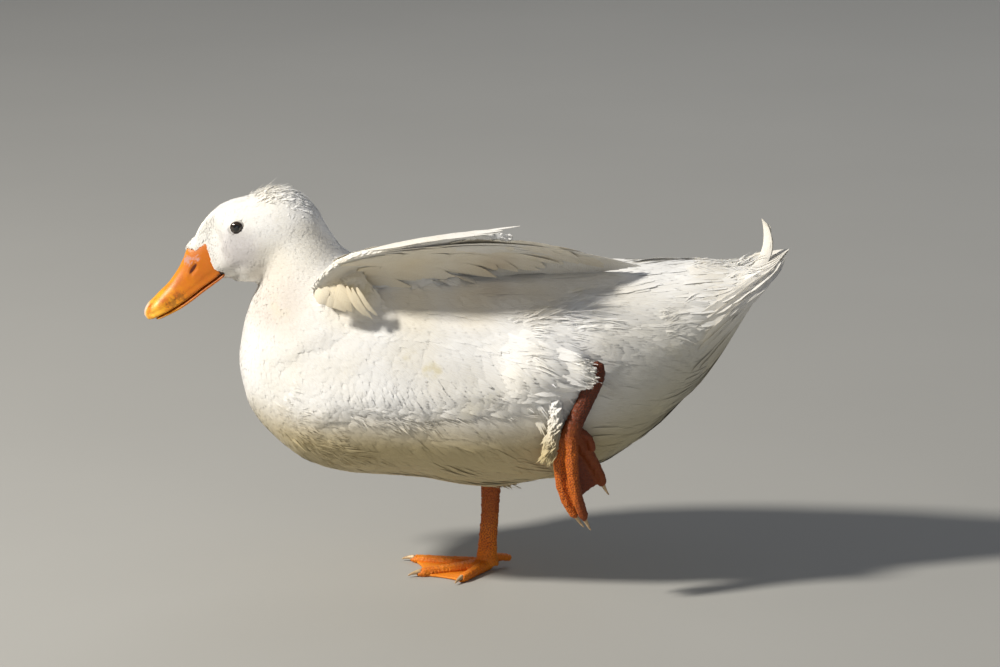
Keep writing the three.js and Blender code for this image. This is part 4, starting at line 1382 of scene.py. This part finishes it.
rng = np.random.default_rng(89)
count = 900
f = rng.random(count)
roots = np.stack([np.interp(f, [0, 0.3, 1], [0.0585, 0.0595, 0.0545]), -0.108 + 0.002 * rng.random(count),
                  0.178 - 0.044 * f], 1) + rng.normal(size=(count, 3)) * 0.0012
way = unit(np.array([-0.50, -0.30, -0.65]) + rng.normal(size=(count, 3)) * 0.13)
long = (0.0075 + 0.0055 * ease(0.3, 0.9, f)) * (0.6 + 0.6 * rng.random(count))
face = np.tile(unit(np.array([-0.55, -0.75, 0.35])), (count, 1))
tips = roots + way * long[:, None]
mids = (roots + tips) / 2 + np.array([-0.0009, -0.0006, 0.0004]) + rng.normal(size=(count, 3)) * 0.0003
piece = softFeathers("legFluff", roots, mids, tips, (face, face, face), 0.0034 + 0.0016 * rng.random(count), tuft, 90,
                     0.06, 0.12, 0.14)
finish(piece, plumageMaterial)

rng = np.random.default_rng(87)
count = 170
f, g, h = rng.random(count), rng.random(count), rng.random(count)
edge = [0, 0.25, 0.5, 0.75, 1]
tips = np.stack([np.interp(f, edge, [0.0755, 0.0850, 0.0895, 0.0880, 0.0845]) - 0.0012 * g, -0.1143 - 0.001 * g,
                 np.interp(f, edge, [0.1865, 0.1890, 0.1955, 0.2045, 0.2125])], 1)
back = np.stack([-1 + 0.15 * f, 0.12 + 0 * f, 0.10 + 0.60 * f], 1) + rng.normal(size=(count, 3)) * 0.10
start = tips + back * (0.014 + 0.034 * h)[:, None] + np.array([0, 0, -0.006]) * f[:, None]
roots, n = nearest(envelopeTree, start)
mids, midN = nearest(envelopeTree, tips * 0.55 + start * 0.45)
mids = mids * 0.8 + (tips * 0.55 + start * 0.45) * 0.2
n, midN = unit(n + np.array([0.30, 0.10, -0.35])), unit(midN + np.array([0.55, 0.10, -0.45]))
face = unit(midN * 0.4 + np.array([0.80, -0.50, -0.55]))
piece = softFeathers("kneePlumes", roots - midN * 0.0034, mids, tips, (n, midN, face), 0.0050 + 0.002 * g, medium, 88,
                     0.03, 0.07, 0.02, 0.4)
finish(piece, plumageMaterial)

back = [
    ((0.030, -0.084, 0.242), (0.010, 0.008, 0.003), 60, 0.020, 0.0030, (0.9, -0.1, 0.25), 0.10),
    ((0.055, -0.080, 0.243), (0.012, 0.008, 0.003), 70, 0.022, 0.0032, (0.95, -0.1, 0.15), 0.10),
    ((0.143, -0.066, 0.228), (0.005, 0.005, 0.007), 60, 0.015, 0.0034, (0.85, -0.1, 0.35), 0.04),
    ((0.020, -0.092, 0.228), (0.022, 0.006, 0.012), 24, 0.024, 0.0034, (0.95, 0, -0.25), 0.015),
    ((0.060, -0.090, 0.222), (0.022, 0.006, 0.012), 24, 0.024, 0.0034, (0.95, 0, -0.20), 0.015),
    ((0.180, midY, 0.273), (0.010, 0.018, 0.001), 80, 0.018, 0.0070, (1, 0, 0.05), 0.08),
    ((0.197, midY, 0.270), (0.005, 0.016, 0.001), 70, 0.016, 0.0065, (1, 0, 0.15), 0.16),
]
wispPiece("backWisps", back, hair, 84)

forehead = []
rng = np.random.default_rng(85)
for _ in range(3200):
    s = 16.6 - 20 * rng.random() ** 0.8
    side = (rng.random() * 2 - 1) * 7.4
    forehead.append(billPlace(s, culmen(s) + 1.0 - 0.11 * side ** 2, side))
forehead = np.array(forehead)
forehead = forehead[pastBillEdge(forehead) < coat["edgeGap"]]
kept = scatter(forehead, np.full(len(forehead), 0.00075))
p, n = nearest(envelopeTree, forehead[kept])
roots = p - n * 0.0007
way = np.tile(unit(-billAhead + billRise * 0.15), (len(p), 1))
way = inSurface(way, n)
mids, midN = nearest(envelopeTree, p + way * 0.0017)
tips, tipN = nearest(envelopeTree, p + way * 0.0034)
piece = softFeathers("foreheadFeathers", roots, mids + midN * 0.0001, tips + tipN * 0.0003, (n, midN, tipN),
                     np.full(len(p), 0.0020), fine, 86)
finish(piece, plumageMaterial)


# bill

bill = {
    "rows": 132,
    "ring": 64,
    "nostril": (17.0, 15.7, 5.0, 1.3),  # along, height, half length, half width
    "nostrilDepth": 2.4,
    "nostrilSlope": -0.50,
}


def loftPiece(name, rings):
    # a closed skin over rings of the same count, with capped ends
    rows, ring = rings.shape[:2]
    points = np.concatenate([rings.reshape(-1, 3), rings[:1].mean(1), rings[-1:].mean(1)])
    r = np.arange(rows - 1)[:, None] * ring
    c = np.arange(ring)[None]
    d = (c + 1) % ring
    walls = np.stack([r + c, r + d, r + ring + d, r + ring + c], -1).reshape(-1, 4)
    mesh = bpy.data.meshes.new(name)
    faces = walls.tolist()
    first, last = rows * ring, rows * ring + 1
    for k in range(ring):
        faces.append((k, first, (k + 1) % ring))
        faces.append(((rows - 1) * ring + k, (rows - 1) * ring + (k + 1) % ring, last))
    mesh.from_pydata(points.tolist(), [], faces)
    mesh.polygons.foreach_set("use_smooth", np.ones(len(mesh.polygons), bool))
    obj = linked(name, mesh)
    turnOutwards(obj)
    return obj


def upperBill():
    s = np.concatenate([np.linspace(-7, 60, bill["rows"] - 30), np.linspace(60.4, 73, 30)])
    turn = np.linspace(0, 2 * math.pi, bill["ring"], endpoint=False)
    c, sn = np.cos(turn)[None], np.sin(turn)[None]
    rim = (lip(s) + 2.2)[:, None]
    power = billPower(s)[:, None]
    power = np.where(sn < 0, 0.45, power)
    y = billHalf(s)[:, None] * np.sign(c) * np.abs(c) ** power
    up = np.where(sn > 0, culmen(s)[:, None] - rim, 2.2)
    h = rim + up * np.sign(sn) * np.abs(sn) ** power
    along = s[:, None] + 0 * h
    # nostril: a slanted slit with a swollen rim
    s0, h0, long, wide = bill["nostril"]
    lean = math.atan(bill["nostrilSlope"])
    a = (along - s0) * math.cos(lean) + (h - h0) * math.sin(lean)
    b = -(along - s0) * math.sin(lean) + (h - h0) * math.cos(lean)
    q = np.sqrt((a / long) ** 2 + (b / wide) ** 2)
    slit = -bill["nostrilDepth"] * ease(1.25, 0.45, q) + 0.45 * np.exp(-((q - 1.7) / 0.5) ** 2)
    # a bead along the mouth's edge under a shallow groove, a dished side and the nail
    bead = 0.55 * np.exp(-((h - rim + 0.1) / 1.3) ** 2) - 0.85 * np.exp(-((h - rim - 2.6) / 0.8) ** 2)
    bead = bead * ease(-2, 6, along) * ease(72, 66, along)
    dish = -0.7 * np.exp(-((along - 33) / 12) ** 2) * np.exp(-((h - rim - up * 0.45) / (0.25 * up + 2)) ** 2)
    pits = -0.4 * (wave(billPlace(along, h, y), 0.004, 91) > 0.35)
    pits = pits * np.exp(-((along - 43) / 8) ** 2) * np.exp(-((h - rim - 3.4) / 1.6) ** 2)
    sideways = (slit + bead + dish + pits) * np.sign(c) * np.minimum(1, np.abs(c) * 2.5)
    nail = ease(62, 65.5, along) * ease(6.4, 5.0, np.abs(y)) * (sn > 0)
    h = h + 0.45 * nail + wave(billPlace(along, h, y), 0.014, 92) * 0.12
    return billPlace(along, h, y + sideways)


def lowerBill():
    s = np.linspace(-5, 66, 80)
    turn = np.linspace(0, 2 * math.pi, 32, endpoint=False)
    c, sn = np.cos(turn)[None], np.sin(turn)[None]
    deep = jawDepth(s)[:, None]
    y = (billHalf(s)[:, None] - 0.4) * np.sign(c) * np.abs(c) ** 0.6
    h = (lip(s) - 0.1)[:, None] - deep + deep * np.sign(sn) * np.abs(sn) ** 0.8
    end = ease(-5.5, -3, s)[:, None] * ease(66.5, 63, s)[:, None]
    return billPlace(s[:, None] + 0 * h, h * end + (lip(s)[:, None] - 1.5) * (1 - end), y * (0.4 + 0.6 * end))


billMaterial, tree, shader = newMaterial("billHorn")
place = addNode(tree, "ShaderNodeTexCoord").outputs["Object"]
local = vectorMaths(tree, "SUBTRACT", place, tuple(billCorner))
along = vectorMaths(tree, "DOT_PRODUCT", local, tuple(billAhead), 1)
rise = vectorMaths(tree, "DOT_PRODUCT", local, tuple(billRise), 1)
split = tree.nodes.new("ShaderNodeSeparateXYZ")
tree.links.new(local, split.inputs[0])
aside = maths(tree, "ABSOLUTE", split.outputs["Y"])
mottle = noise(tree, place, 130.0, 4.0, 0.6)
speckle = noise(tree, place, 420.0, 4.0, 0.65)
colour = ramp(tree, fade(tree, along, -0.005, 0.075), (0.0, (0.54, 0.140, 0.003)), (0.45, (0.66, 0.195, 0.004)),
              (0.8, (0.86, 0.370, 0.012)), (1.0, (0.90, 0.50, 0.06)))
colour = mixed(tree, fade(tree, mottle, 0.40, 0.72), colour, (0.56, 0.140, 0.003))
# painted highlight: lighter near the bill's middle line, along the culmen's top where light falls
ridge = maths(tree, "MULTIPLY", fade(tree, aside, 0.008, 0.001), 0.30)
colour = mixed(tree, ridge, colour, (0.93, 0.47, 0.045))
nailMask = maths(tree, "MULTIPLY", fade(tree, along, 0.0625, 0.0665), fade(tree, aside, 0.0075, 0.0050))
colour = mixed(tree, nailMask, colour, (0.80, 0.56, 0.42))


def spot(s, h, size):
    # 1 near a place on both sides of the bill, with an uneven rim
    a = maths(tree, "SUBTRACT", along, s * mm)
    b = maths(tree, "SUBTRACT", rise, h * mm)
    far = hypotenuse(tree, a, b)
    uneven = maths(tree, "MULTIPLY", maths(tree, "SUBTRACT", speckle, 0.5), size * mm * 4.5)
    return fade(tree, maths(tree, "ADD", far, uneven), size * mm, size * mm * 0.3)


# worn pinkish-grey patches by the nostril and on the bill's top, then painted shade in the pitted groove above the
# mouth's bead, then painted shade in the corner of the mouth
for s, h, size, share, tone in (
    (18, 24, 4.6, 0.75, (0.50, 0.30, 0.27)), (10.5, 21.5, 3.0, 0.7, (0.50, 0.30, 0.27)),
    (12.5, 31, 3.4, 0.6, (0.62, 0.33, 0.25)), (46, -1.4, 5.0, 0.55, (0.20, 0.07, 0.010)),
    (38, -0.2, 5.0, 0.55, (0.20, 0.07, 0.010)),
    (-2.6, 1.6, 3.6, 0.95, (0.030, 0.016, 0.010)),
):
    colour = mixed(tree, maths(tree, "MULTIPLY", spot(s, h, size), share), colour, tone)
s, h, longHalf, wideHalf = bill["nostril"]
lean = math.atan(bill["nostrilSlope"])
a, b = (vectorMaths(tree, "DOT_PRODUCT", local, tuple(billAhead * math.cos(turn) + billRise * math.sin(turn)), 1)
        for turn in (lean, lean + math.pi / 2))
for value, middle, half in ((a, s * math.cos(lean) + h * math.sin(lean), longHalf),
                            (b, h * math.cos(lean) - s * math.sin(lean), wideHalf)):
    value = maths(tree, "DIVIDE", maths(tree, "SUBTRACT", value, middle * mm), half * mm)
    squared = maths(tree, "MULTIPLY", value, value)
    slit = squared if half == longHalf else maths(tree, "ADD", slit, squared)
# the nostril's slit is dark red: its reddish inside, darkened with painted shade
colour = mixed(tree, fade(tree, slit, 1.7, 0.5), colour, (0.16, 0.030, 0.008))
feed(tree, shader.inputs["Base Color"], colour)
feed(tree, shader.inputs["Roughness"], ramp(tree, mottle, (0.3, 0.34), (0.7, 0.50)))
flesh(shader, 0.12, (0.004, 0.0015, 0.0005))
shader.inputs["Specular IOR Level"].default_value = 0.45
bumped(tree, shader, noise(tree, place, 900.0, 3.0), 0.3, 0.0004)

finish(loftPiece("billUpper", upperBill()), billMaterial, ["bill_upper"])
finish(loftPiece("billLower", lowerBill()), billMaterial, ["bill_lower"])


# eyes and lids

eye = {"opening": 0.0047, "lidWidth": 0.0026, "bulge": 0.00045}


def fromEye(tree):
    # a place in the piece's own space, and how far it is from the middle of the eye, seen from the side
    place, axes = ownPlace(tree)
    a = maths(tree, "SUBTRACT", axes["X"], eyeCentre["x"])
    b = maths(tree, "SUBTRACT", axes["Z"], eyeCentre["z"])
    return place, hypotenuse(tree, a, b)


eyeMaterial, tree, shader = newMaterial("eyeGloss")
place, far = fromEye(tree)
colour = ramp(tree, fade(tree, far, 0.0, 0.0066), (0.0, (0.003, 0.003, 0.004)), (0.34, (0.003, 0.003, 0.004)),
              (0.40, (0.024, 0.014, 0.009)), (0.64, (0.060, 0.036, 0.020)), (0.72, (0.010, 0.007, 0.006)))
colour = mixed(tree, 1.0, colour, ramp(tree, noise(tree, place, 700.0, 3.0), (0.3, 0.6), (0.7, 1.0)), "MULTIPLY")
feed(tree, shader.inputs["Base Color"], colour)
shader.inputs["Roughness"].default_value = 0.12
shader.inputs["Coat Weight"].default_value = 1.0
shader.inputs["Coat Roughness"].default_value = 0.03

lidMaterial, tree, shader = newMaterial("lidSkin")
place, far = fromEye(tree)
colour = mixed(tree, fade(tree, far, 0.0050, 0.0058), (0.060, 0.038, 0.032), (0.84, 0.80, 0.72))
feed(tree, shader.inputs["Base Color"], colour)
shader.inputs["Roughness"].default_value = 0.5
bumped(tree, shader, noise(tree, place, 1600.0, 2.0), 0.4, 0.0003)

for side, eyeName in ((-1, "left"), (1, "right")):
    centre = Vector((eyeCentre["x"], midY + side * eyeCentre["side"], eyeCentre["z"]))
    activate(None)
    bpy.ops.mesh.primitive_uv_sphere_add(segments=56, ring_count=36, radius=eyeCentre["radius"], location=centre)
    ball = bpy.context.object
    ball.name = "eye" + eyeName.capitalize()
    bpy.ops.object.mode_set(mode="EDIT")
    bpy.ops.transform.rotate(value=math.pi / 2, orient_axis="X", center_override=centre)
    bpy.ops.object.mode_set(mode="OBJECT")
    bpy.ops.object.transform_apply(location=True, rotation=True, scale=True)
    co, _ = meshArrays(ball)
    away = np.hypot(co[:, 0] - centre.x, co[:, 2] - centre.z)
    outside = (co[:, 1] - centre.y) * side > 0
    co[:, 1] += side * eye["bulge"] * ease(0.0050, 0.0, away) * outside
    moveVertices(ball, co)
    bpy.ops.object.shade_smooth()
    finish(ball, eyeMaterial, ["eye_" + eyeName])

    turns = np.linspace(0, 2 * math.pi, 72, endpoint=False)
    corner = np.exp(-((np.angle(np.exp(1j * (turns - math.radians(215))))) / 0.28) ** 2)
    backCorner = np.exp(-((np.angle(np.exp(1j * (turns - math.radians(20))))) / 0.3) ** 2)
    inner = eye["opening"] * (1 + 0.02 * np.cos(2 * turns)) + 0.0011 * corner + 0.0004 * backCorner
    rings = []
    for share, proud in ((0.0, -0.0006), (-0.04, 0.0002), (0.05, 0.0006), (0.2, 0.0007), (0.45, 0.0005),
                         (0.75, 0.0002), (1.0, -0.0008), (1.0, -0.0022), (0.0, -0.0022)):
        radius = inner + eye["lidWidth"] * share
        x, z = centre.x + radius * np.cos(turns), centre.z + radius * np.sin(turns)
        ballOut = np.sqrt(np.maximum(eyeCentre["radius"] ** 2 - radius ** 2, 0)) + eyeCentre["side"]
        found, _ = nearest(envelopeTree, np.stack([x, midY + side * (ballOut + 0.001), z], 1))
        skinOut = (found[:, 1] - midY) * side
        out = ballOut * (1 - ease(0.3, 1, share)) + np.minimum(skinOut, ballOut + 0.004) * ease(0.3, 1, share)
        rings.append(np.stack([x, midY + side * (out + proud), z], 1))
    rings = np.array(rings)
    count, ring = rings.shape[:2]
    r = np.arange(count)[:, None] * ring
    c = np.arange(ring)[None]
    nextRing = ((np.arange(count) + 1) % count)[:, None] * ring
    faces = np.stack([r + c, r + (c + 1) % ring, nextRing + (c + 1) % ring, nextRing + c], -1).reshape(-1, 4)
    lid = meshPiece("lid" + eyeName.capitalize(), rings.reshape(-1, 3), faces)
    turnOutwards(lid)
    applyModifier(lid, "SUBSURF", levels=1, render_levels=1)
    finish(lid, lidMaterial)


# legs

legs = {
    "voxel": 0.00062,
    "smooth": 7,
    "cell": 0.0019,
    "groove": 0.00034,
    "scute": 0.0026,
    "scuteDepth": 0.00016,
    "linePoints": 60,
    "webRows": 26,
    "webColumns": 24,
    "tries": 26000,  # places tried as the middle of a scale
}


def headingWay(degrees):
    # 0 is straight ahead
    return np.array([-math.cos(math.radians(degrees)), -math.sin(math.radians(degrees))])


standingToes = {"outer": (-19, 69), "middle": (20, 63), "inner": (60, 46)}
standingPaths = []
for heading, length in standingToes.values():
    way = np.append(headingWay(heading), 0)
    standingPaths.append([way * length * t + np.array([0, 0, 4.8 - 2.1 * t]) for t in (0, 0.33, 0.66, 1)])
standingPaths.append([np.array(q, float) for q in ((4, 3, 9), (12, 7, 9), (20, 11, 6.5))])
hangingPaths = [
    [(69, -107, 144), (70, -110, 118), (73.5, -110, 97), (81, -107, 74)],
    [(63, -104, 144), (60, -101, 114), (64, -100, 93), (74, -99, 74)],
    [(72, -100, 144), (85, -92, 124), (92, -88, 109), (96, -86, 98)],
    [(74, -103, 150), (84, -101, 142), (87, -99, 131)],
]
standingShank = [(0, 0, 4), (0, 0, 18), (2, 0, 45), (3, -1, 70), (4, -2, 100)]
hangingShank = [(91, -106, 209), (90, -106, 200), (80, -106, 174), (70, -106, 152), (67, -106, 143)]


def denseLine(points):
    p = np.asarray(points, float) * mm
    knots = np.r_[0, np.cumsum(np.linalg.norm(np.diff(p, axis=0), axis=1))]
    s = np.linspace(0, knots[-1], legs["linePoints"])
    return np.stack([np.interp(s, knots, p[:, i]) for i in range(3)], 1), s


def alongLine(co, points):
    # how far along a line each place is, and how far from it
    line, s = denseLine(points)
    gaps = np.linalg.norm(co[:, None] - line[None], axis=2)
    i = np.argmin(gaps, axis=1)
    way = unit(np.gradient(line, axis=0))[i]
    return s[i] + np.sum((co - line[i]) * way, axis=1), gaps[np.arange(len(co)), i]


def scaledLeg(name, nodeNames, toes, shank, seed, top=None):
    leg = remeshed(mergedCopy(name, nodeNames, 0.0002), legs["voxel"], legs["smooth"])
    co, no = meshArrays(leg)
    if top:
        # the knee end is rounded
        x, y, low, high = top
        share = np.clip((co[:, 2] - low) / (high - low), 0, 0.995)
        co[:, :2] = (x, y) + (co[:, :2] - (x, y)) * np.sqrt(1 - share ** 2)[:, None]
    push = np.zeros(len(co))
    toeness = np.zeros(len(co))
    for points in toes:
        s, gap = alongLine(co, points)
        near = ease(0.0085, 0.0055, gap)
        bent = s + 0.0006 * wave(co, 0.012, seed)
        ridge = np.abs(((bent / legs["scute"]) % 1) * 2 - 1)
        push = np.where(near > toeness, -legs["scuteDepth"] * (1 - ease(0.0, 0.34, 1 - ridge)) * near, push)
        toeness = np.maximum(toeness, near)
    s, gap = alongLine(co, shank)
    onShank = ease(0.0140, 0.0105, gap) * (1 - toeness)
    rng = np.random.default_rng(seed)
    order = rng.permutation(len(co))[:legs["tries"]]
    seeds = co[order]
    seeds = seeds[scatter(seeds, np.full(len(seeds), legs["cell"] * 0.8))]
    tree = pointTree(seeds)
    cell = np.empty(len(co))
    for i, p in enumerate(co):
        first, second = tree.find_n(p, 2)
        cell[i] = second[2] - first[2]
    groove = -legs["groove"] * ease(0.0005, 0.0, cell)
    webness = 1 - np.maximum(toeness, onShank)
    push = push + groove * (1 - 0.6 * webness)
    wrinkle = wave(co * np.array([1, 1, 2.2]), 0.006, seed + 1) * 0.00030 * onShank
    wrinkle = wrinkle + wave(co, 0.004, seed + 2) * 0.00022
    co = co + no * (push + wrinkle)[:, None]
    co[:, 2] = np.maximum(co[:, 2], 0.0)
    moveVertices(leg, co)
    tone = leg.data.attributes.new("scaleTone", "FLOAT", "POINT")
    tone.data.foreach_set("value", np.clip(0.5 + (push + groove) / 0.0008, 0, 1).astype(np.float32))
    web = leg.data.attributes.new("webTone", "FLOAT", "POINT")
    web.data.foreach_set("value", webness.astype(np.float32))
    return leg


legMaterial, tree, shader = newMaterial("legScales")
place, axes = ownPlace(tree)
scaleTone = addNode(tree, "ShaderNodeAttribute", attribute_name="scaleTone").outputs["Fac"]
webTone = addNode(tree, "ShaderNodeAttribute", attribute_name="webTone").outputs["Fac"]
mottle = noise(tree, place, 60.0, 4.0, 0.6)
colour = ramp(tree, mottle, (0.30, (0.78, 0.185, 0.008)), (0.55, (0.92, 0.270, 0.010)), (0.75, (0.96, 0.34, 0.018)))
height = axes["Z"]
# painted shade: dark red-brown above the foot, as on legs in the shade of the body
paintedShankShade = maths(tree, "MULTIPLY", fade(tree, height, 0.012, 0.060), 0.72)
colour = mixed(tree, paintedShankShade, colour, (0.27, 0.050, 0.010))
raised = fade(tree, axes["X"], 0.040, 0.050)  # 1 on the raised leg
# painted shade on the raised leg: its back toes and upper shank are darkened, the upper shank partly for its own darker
# colour, and its lower front toe is brought back to orange
for axis, low, high, share, tone in (
    ("Z", 0.150, 0.128, 0.70, (0.80, 0.19, 0.008)), ("X", 0.071, 0.078, 0.72, (0.10, 0.022, 0.008)),
    ("Z", 0.140, 0.162, 0.80, (0.055, 0.014, 0.006)),
):
    area = maths(tree, "MULTIPLY", raised, fade(tree, axes[axis], low, high))
    colour = mixed(tree, maths(tree, "MULTIPLY", area, share), colour, tone)
# painted shade: webs high off the floor, on the raised foot, are dark red-brown; the standing foot's web stays orange
webColourAndShade = mixed(tree, fade(tree, height, 0.012, 0.060), (0.92, 0.28, 0.012), (0.15, 0.028, 0.010))
colour = mixed(tree, maths(tree, "MULTIPLY", webTone, 0.75), colour, webColourAndShade)
# painted shade in the grooves between the scales, weaker near the floor
depthTone = maths(tree, "ADD", maths(tree, "MULTIPLY", fade(tree, height, 0.006, 0.030), 0.75), 0.25)
creaseShade = maths(tree, "MULTIPLY", fade(tree, scaleTone, 0.45, 0.05), depthTone)
colour = mixed(tree, creaseShade, colour, (0.26, 0.040, 0.006))
grain = noise(tree, place, 700.0, 3.0)
colour = mixed(tree, 1.0, colour, ramp(tree, grain, (0.3, 0.80), (0.7, 1.0)), "MULTIPLY")
feed(tree, shader.inputs["Base Color"], colour)
feed(tree, shader.inputs["Roughness"], ramp(tree, grain, (0.3, 0.42), (0.7, 0.60)))
flesh(shader, 0.08, (0.003, 0.001, 0.0004))
shader.inputs["Specular IOR Level"].default_value = 0.4
pattern = addNode(tree, "ShaderNodeTexVoronoi", feature="DISTANCE_TO_EDGE", Scale=620.0)
tree.links.new(place, pattern.inputs["Vector"])
bumped(tree, shader, fade(tree, pattern.outputs["Distance"], 0.0, 0.12), 0.5, 0.0003)

rightLeg = scaledLeg("legRight", ["shank_right", "foot_right"], standingPaths, standingShank, 101)
finish(rightLeg, legMaterial, ["shank_right", "foot_right"])


def toeWeb(name, toes):
    # thin folds of skin between the toes, each closed all round
    rows, columns = legs["webRows"], legs["webColumns"]
    u, t = np.meshgrid(np.linspace(0, 1, columns), np.linspace(0.10, 1, rows))
    points, faces = [], []
    for near, far in zip(toes[:-1], toes[1:]):
        along = t * (0.95 - 0.07 * np.sin(math.pi * u))
        ends = [headingWay(turn) * long for turn, long in (near, far)]
        flat = ends[0] * ((1 - u) * along)[..., None] + ends[1] * (u * along)[..., None]
        top = 3.3 - 1.5 * along + 0.45 * np.sin(u * 3 * math.pi) * along
        level = np.stack([top, np.full_like(top, 0.4)])
        sheet = np.stack([np.concatenate([flat, level[k][..., None]], -1) for k in (0, 1)]).reshape(-1, 3)
        start = sum(len(p) for p in points)
        points.append(sheet)
        grid = np.arange(rows * columns).reshape(rows, columns) + start
        under = grid + rows * columns
        a, b, c, d = grid[:-1, :-1], grid[1:, :-1], grid[1:, 1:], grid[:-1, 1:]
        faces.append(np.stack([a, b, c, d], -1).reshape(-1, 4))
        a, b, c, d = under[:-1, :-1], under[1:, :-1], under[1:, 1:], under[:-1, 1:]
        faces.append(np.stack([d, c, b, a], -1).reshape(-1, 4))
        rim = np.concatenate([grid[0], grid[1:, -1], grid[-1, -2::-1], grid[-2:0:-1, 0]])
        low = rim + rows * columns
        faces.append(np.stack([rim, np.roll(rim, -1), np.roll(low, -1), low], -1))
    piece = meshPiece(name, np.concatenate(points) * mm, np.concatenate(faces))
    turnOutwards(piece)
    bpy.ops.object.shade_smooth()
    for attribute, value in (("scaleTone", 0.6), ("webTone", 1.0)):
        tone = piece.data.attributes.new(attribute, "FLOAT", "POINT")
        tone.data.foreach_set("value", np.full(len(piece.data.vertices), value, np.float32))
    return piece


finish(toeWeb("toeWebs", list(standingToes.values())), legMaterial)
knee = (0.0905, -0.106, 0.190, 0.2095)  # x, y, and the heights that it is rounded between
leftLeg = scaledLeg("legLeft", ["shank_left", "foot_left"], hangingPaths, hangingShank, 102, knee)
finish(leftLeg, legMaterial, ["shank_left", "foot_left"])


# claws

clawMaterial, tree, shader = newMaterial("clawHorn")
place = addNode(tree, "ShaderNodeTexCoord").outputs["Object"]
colour = ramp(tree, noise(tree, place, 260.0, 3.0), (0.3, (0.40, 0.25, 0.12)), (0.7, (0.62, 0.46, 0.27)))
feed(tree, shader.inputs["Base Color"], colour)
shader.inputs["Roughness"].default_value = 0.35
flesh(shader, 0.15, (0.002, 0.0012, 0.0008))
bumped(tree, shader, noise(tree, place, 1500.0, 2.0), 0.3, 0.0002)

clawNodes = [n for n in nodes if n.startswith("claw_")]
claws = mergedCopy("claws", clawNodes, 0.0)
applyModifier(claws, "SUBSURF", levels=2, render_levels=2)
co, _ = meshArrays(claws)
co[:, 2] = np.maximum(co[:, 2], 0)
moveVertices(claws, co)
activate(claws)
bpy.ops.object.shade_smooth()
finish(claws, clawMaterial, clawNodes)

bpy.data.objects.remove(envelope)

low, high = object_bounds()
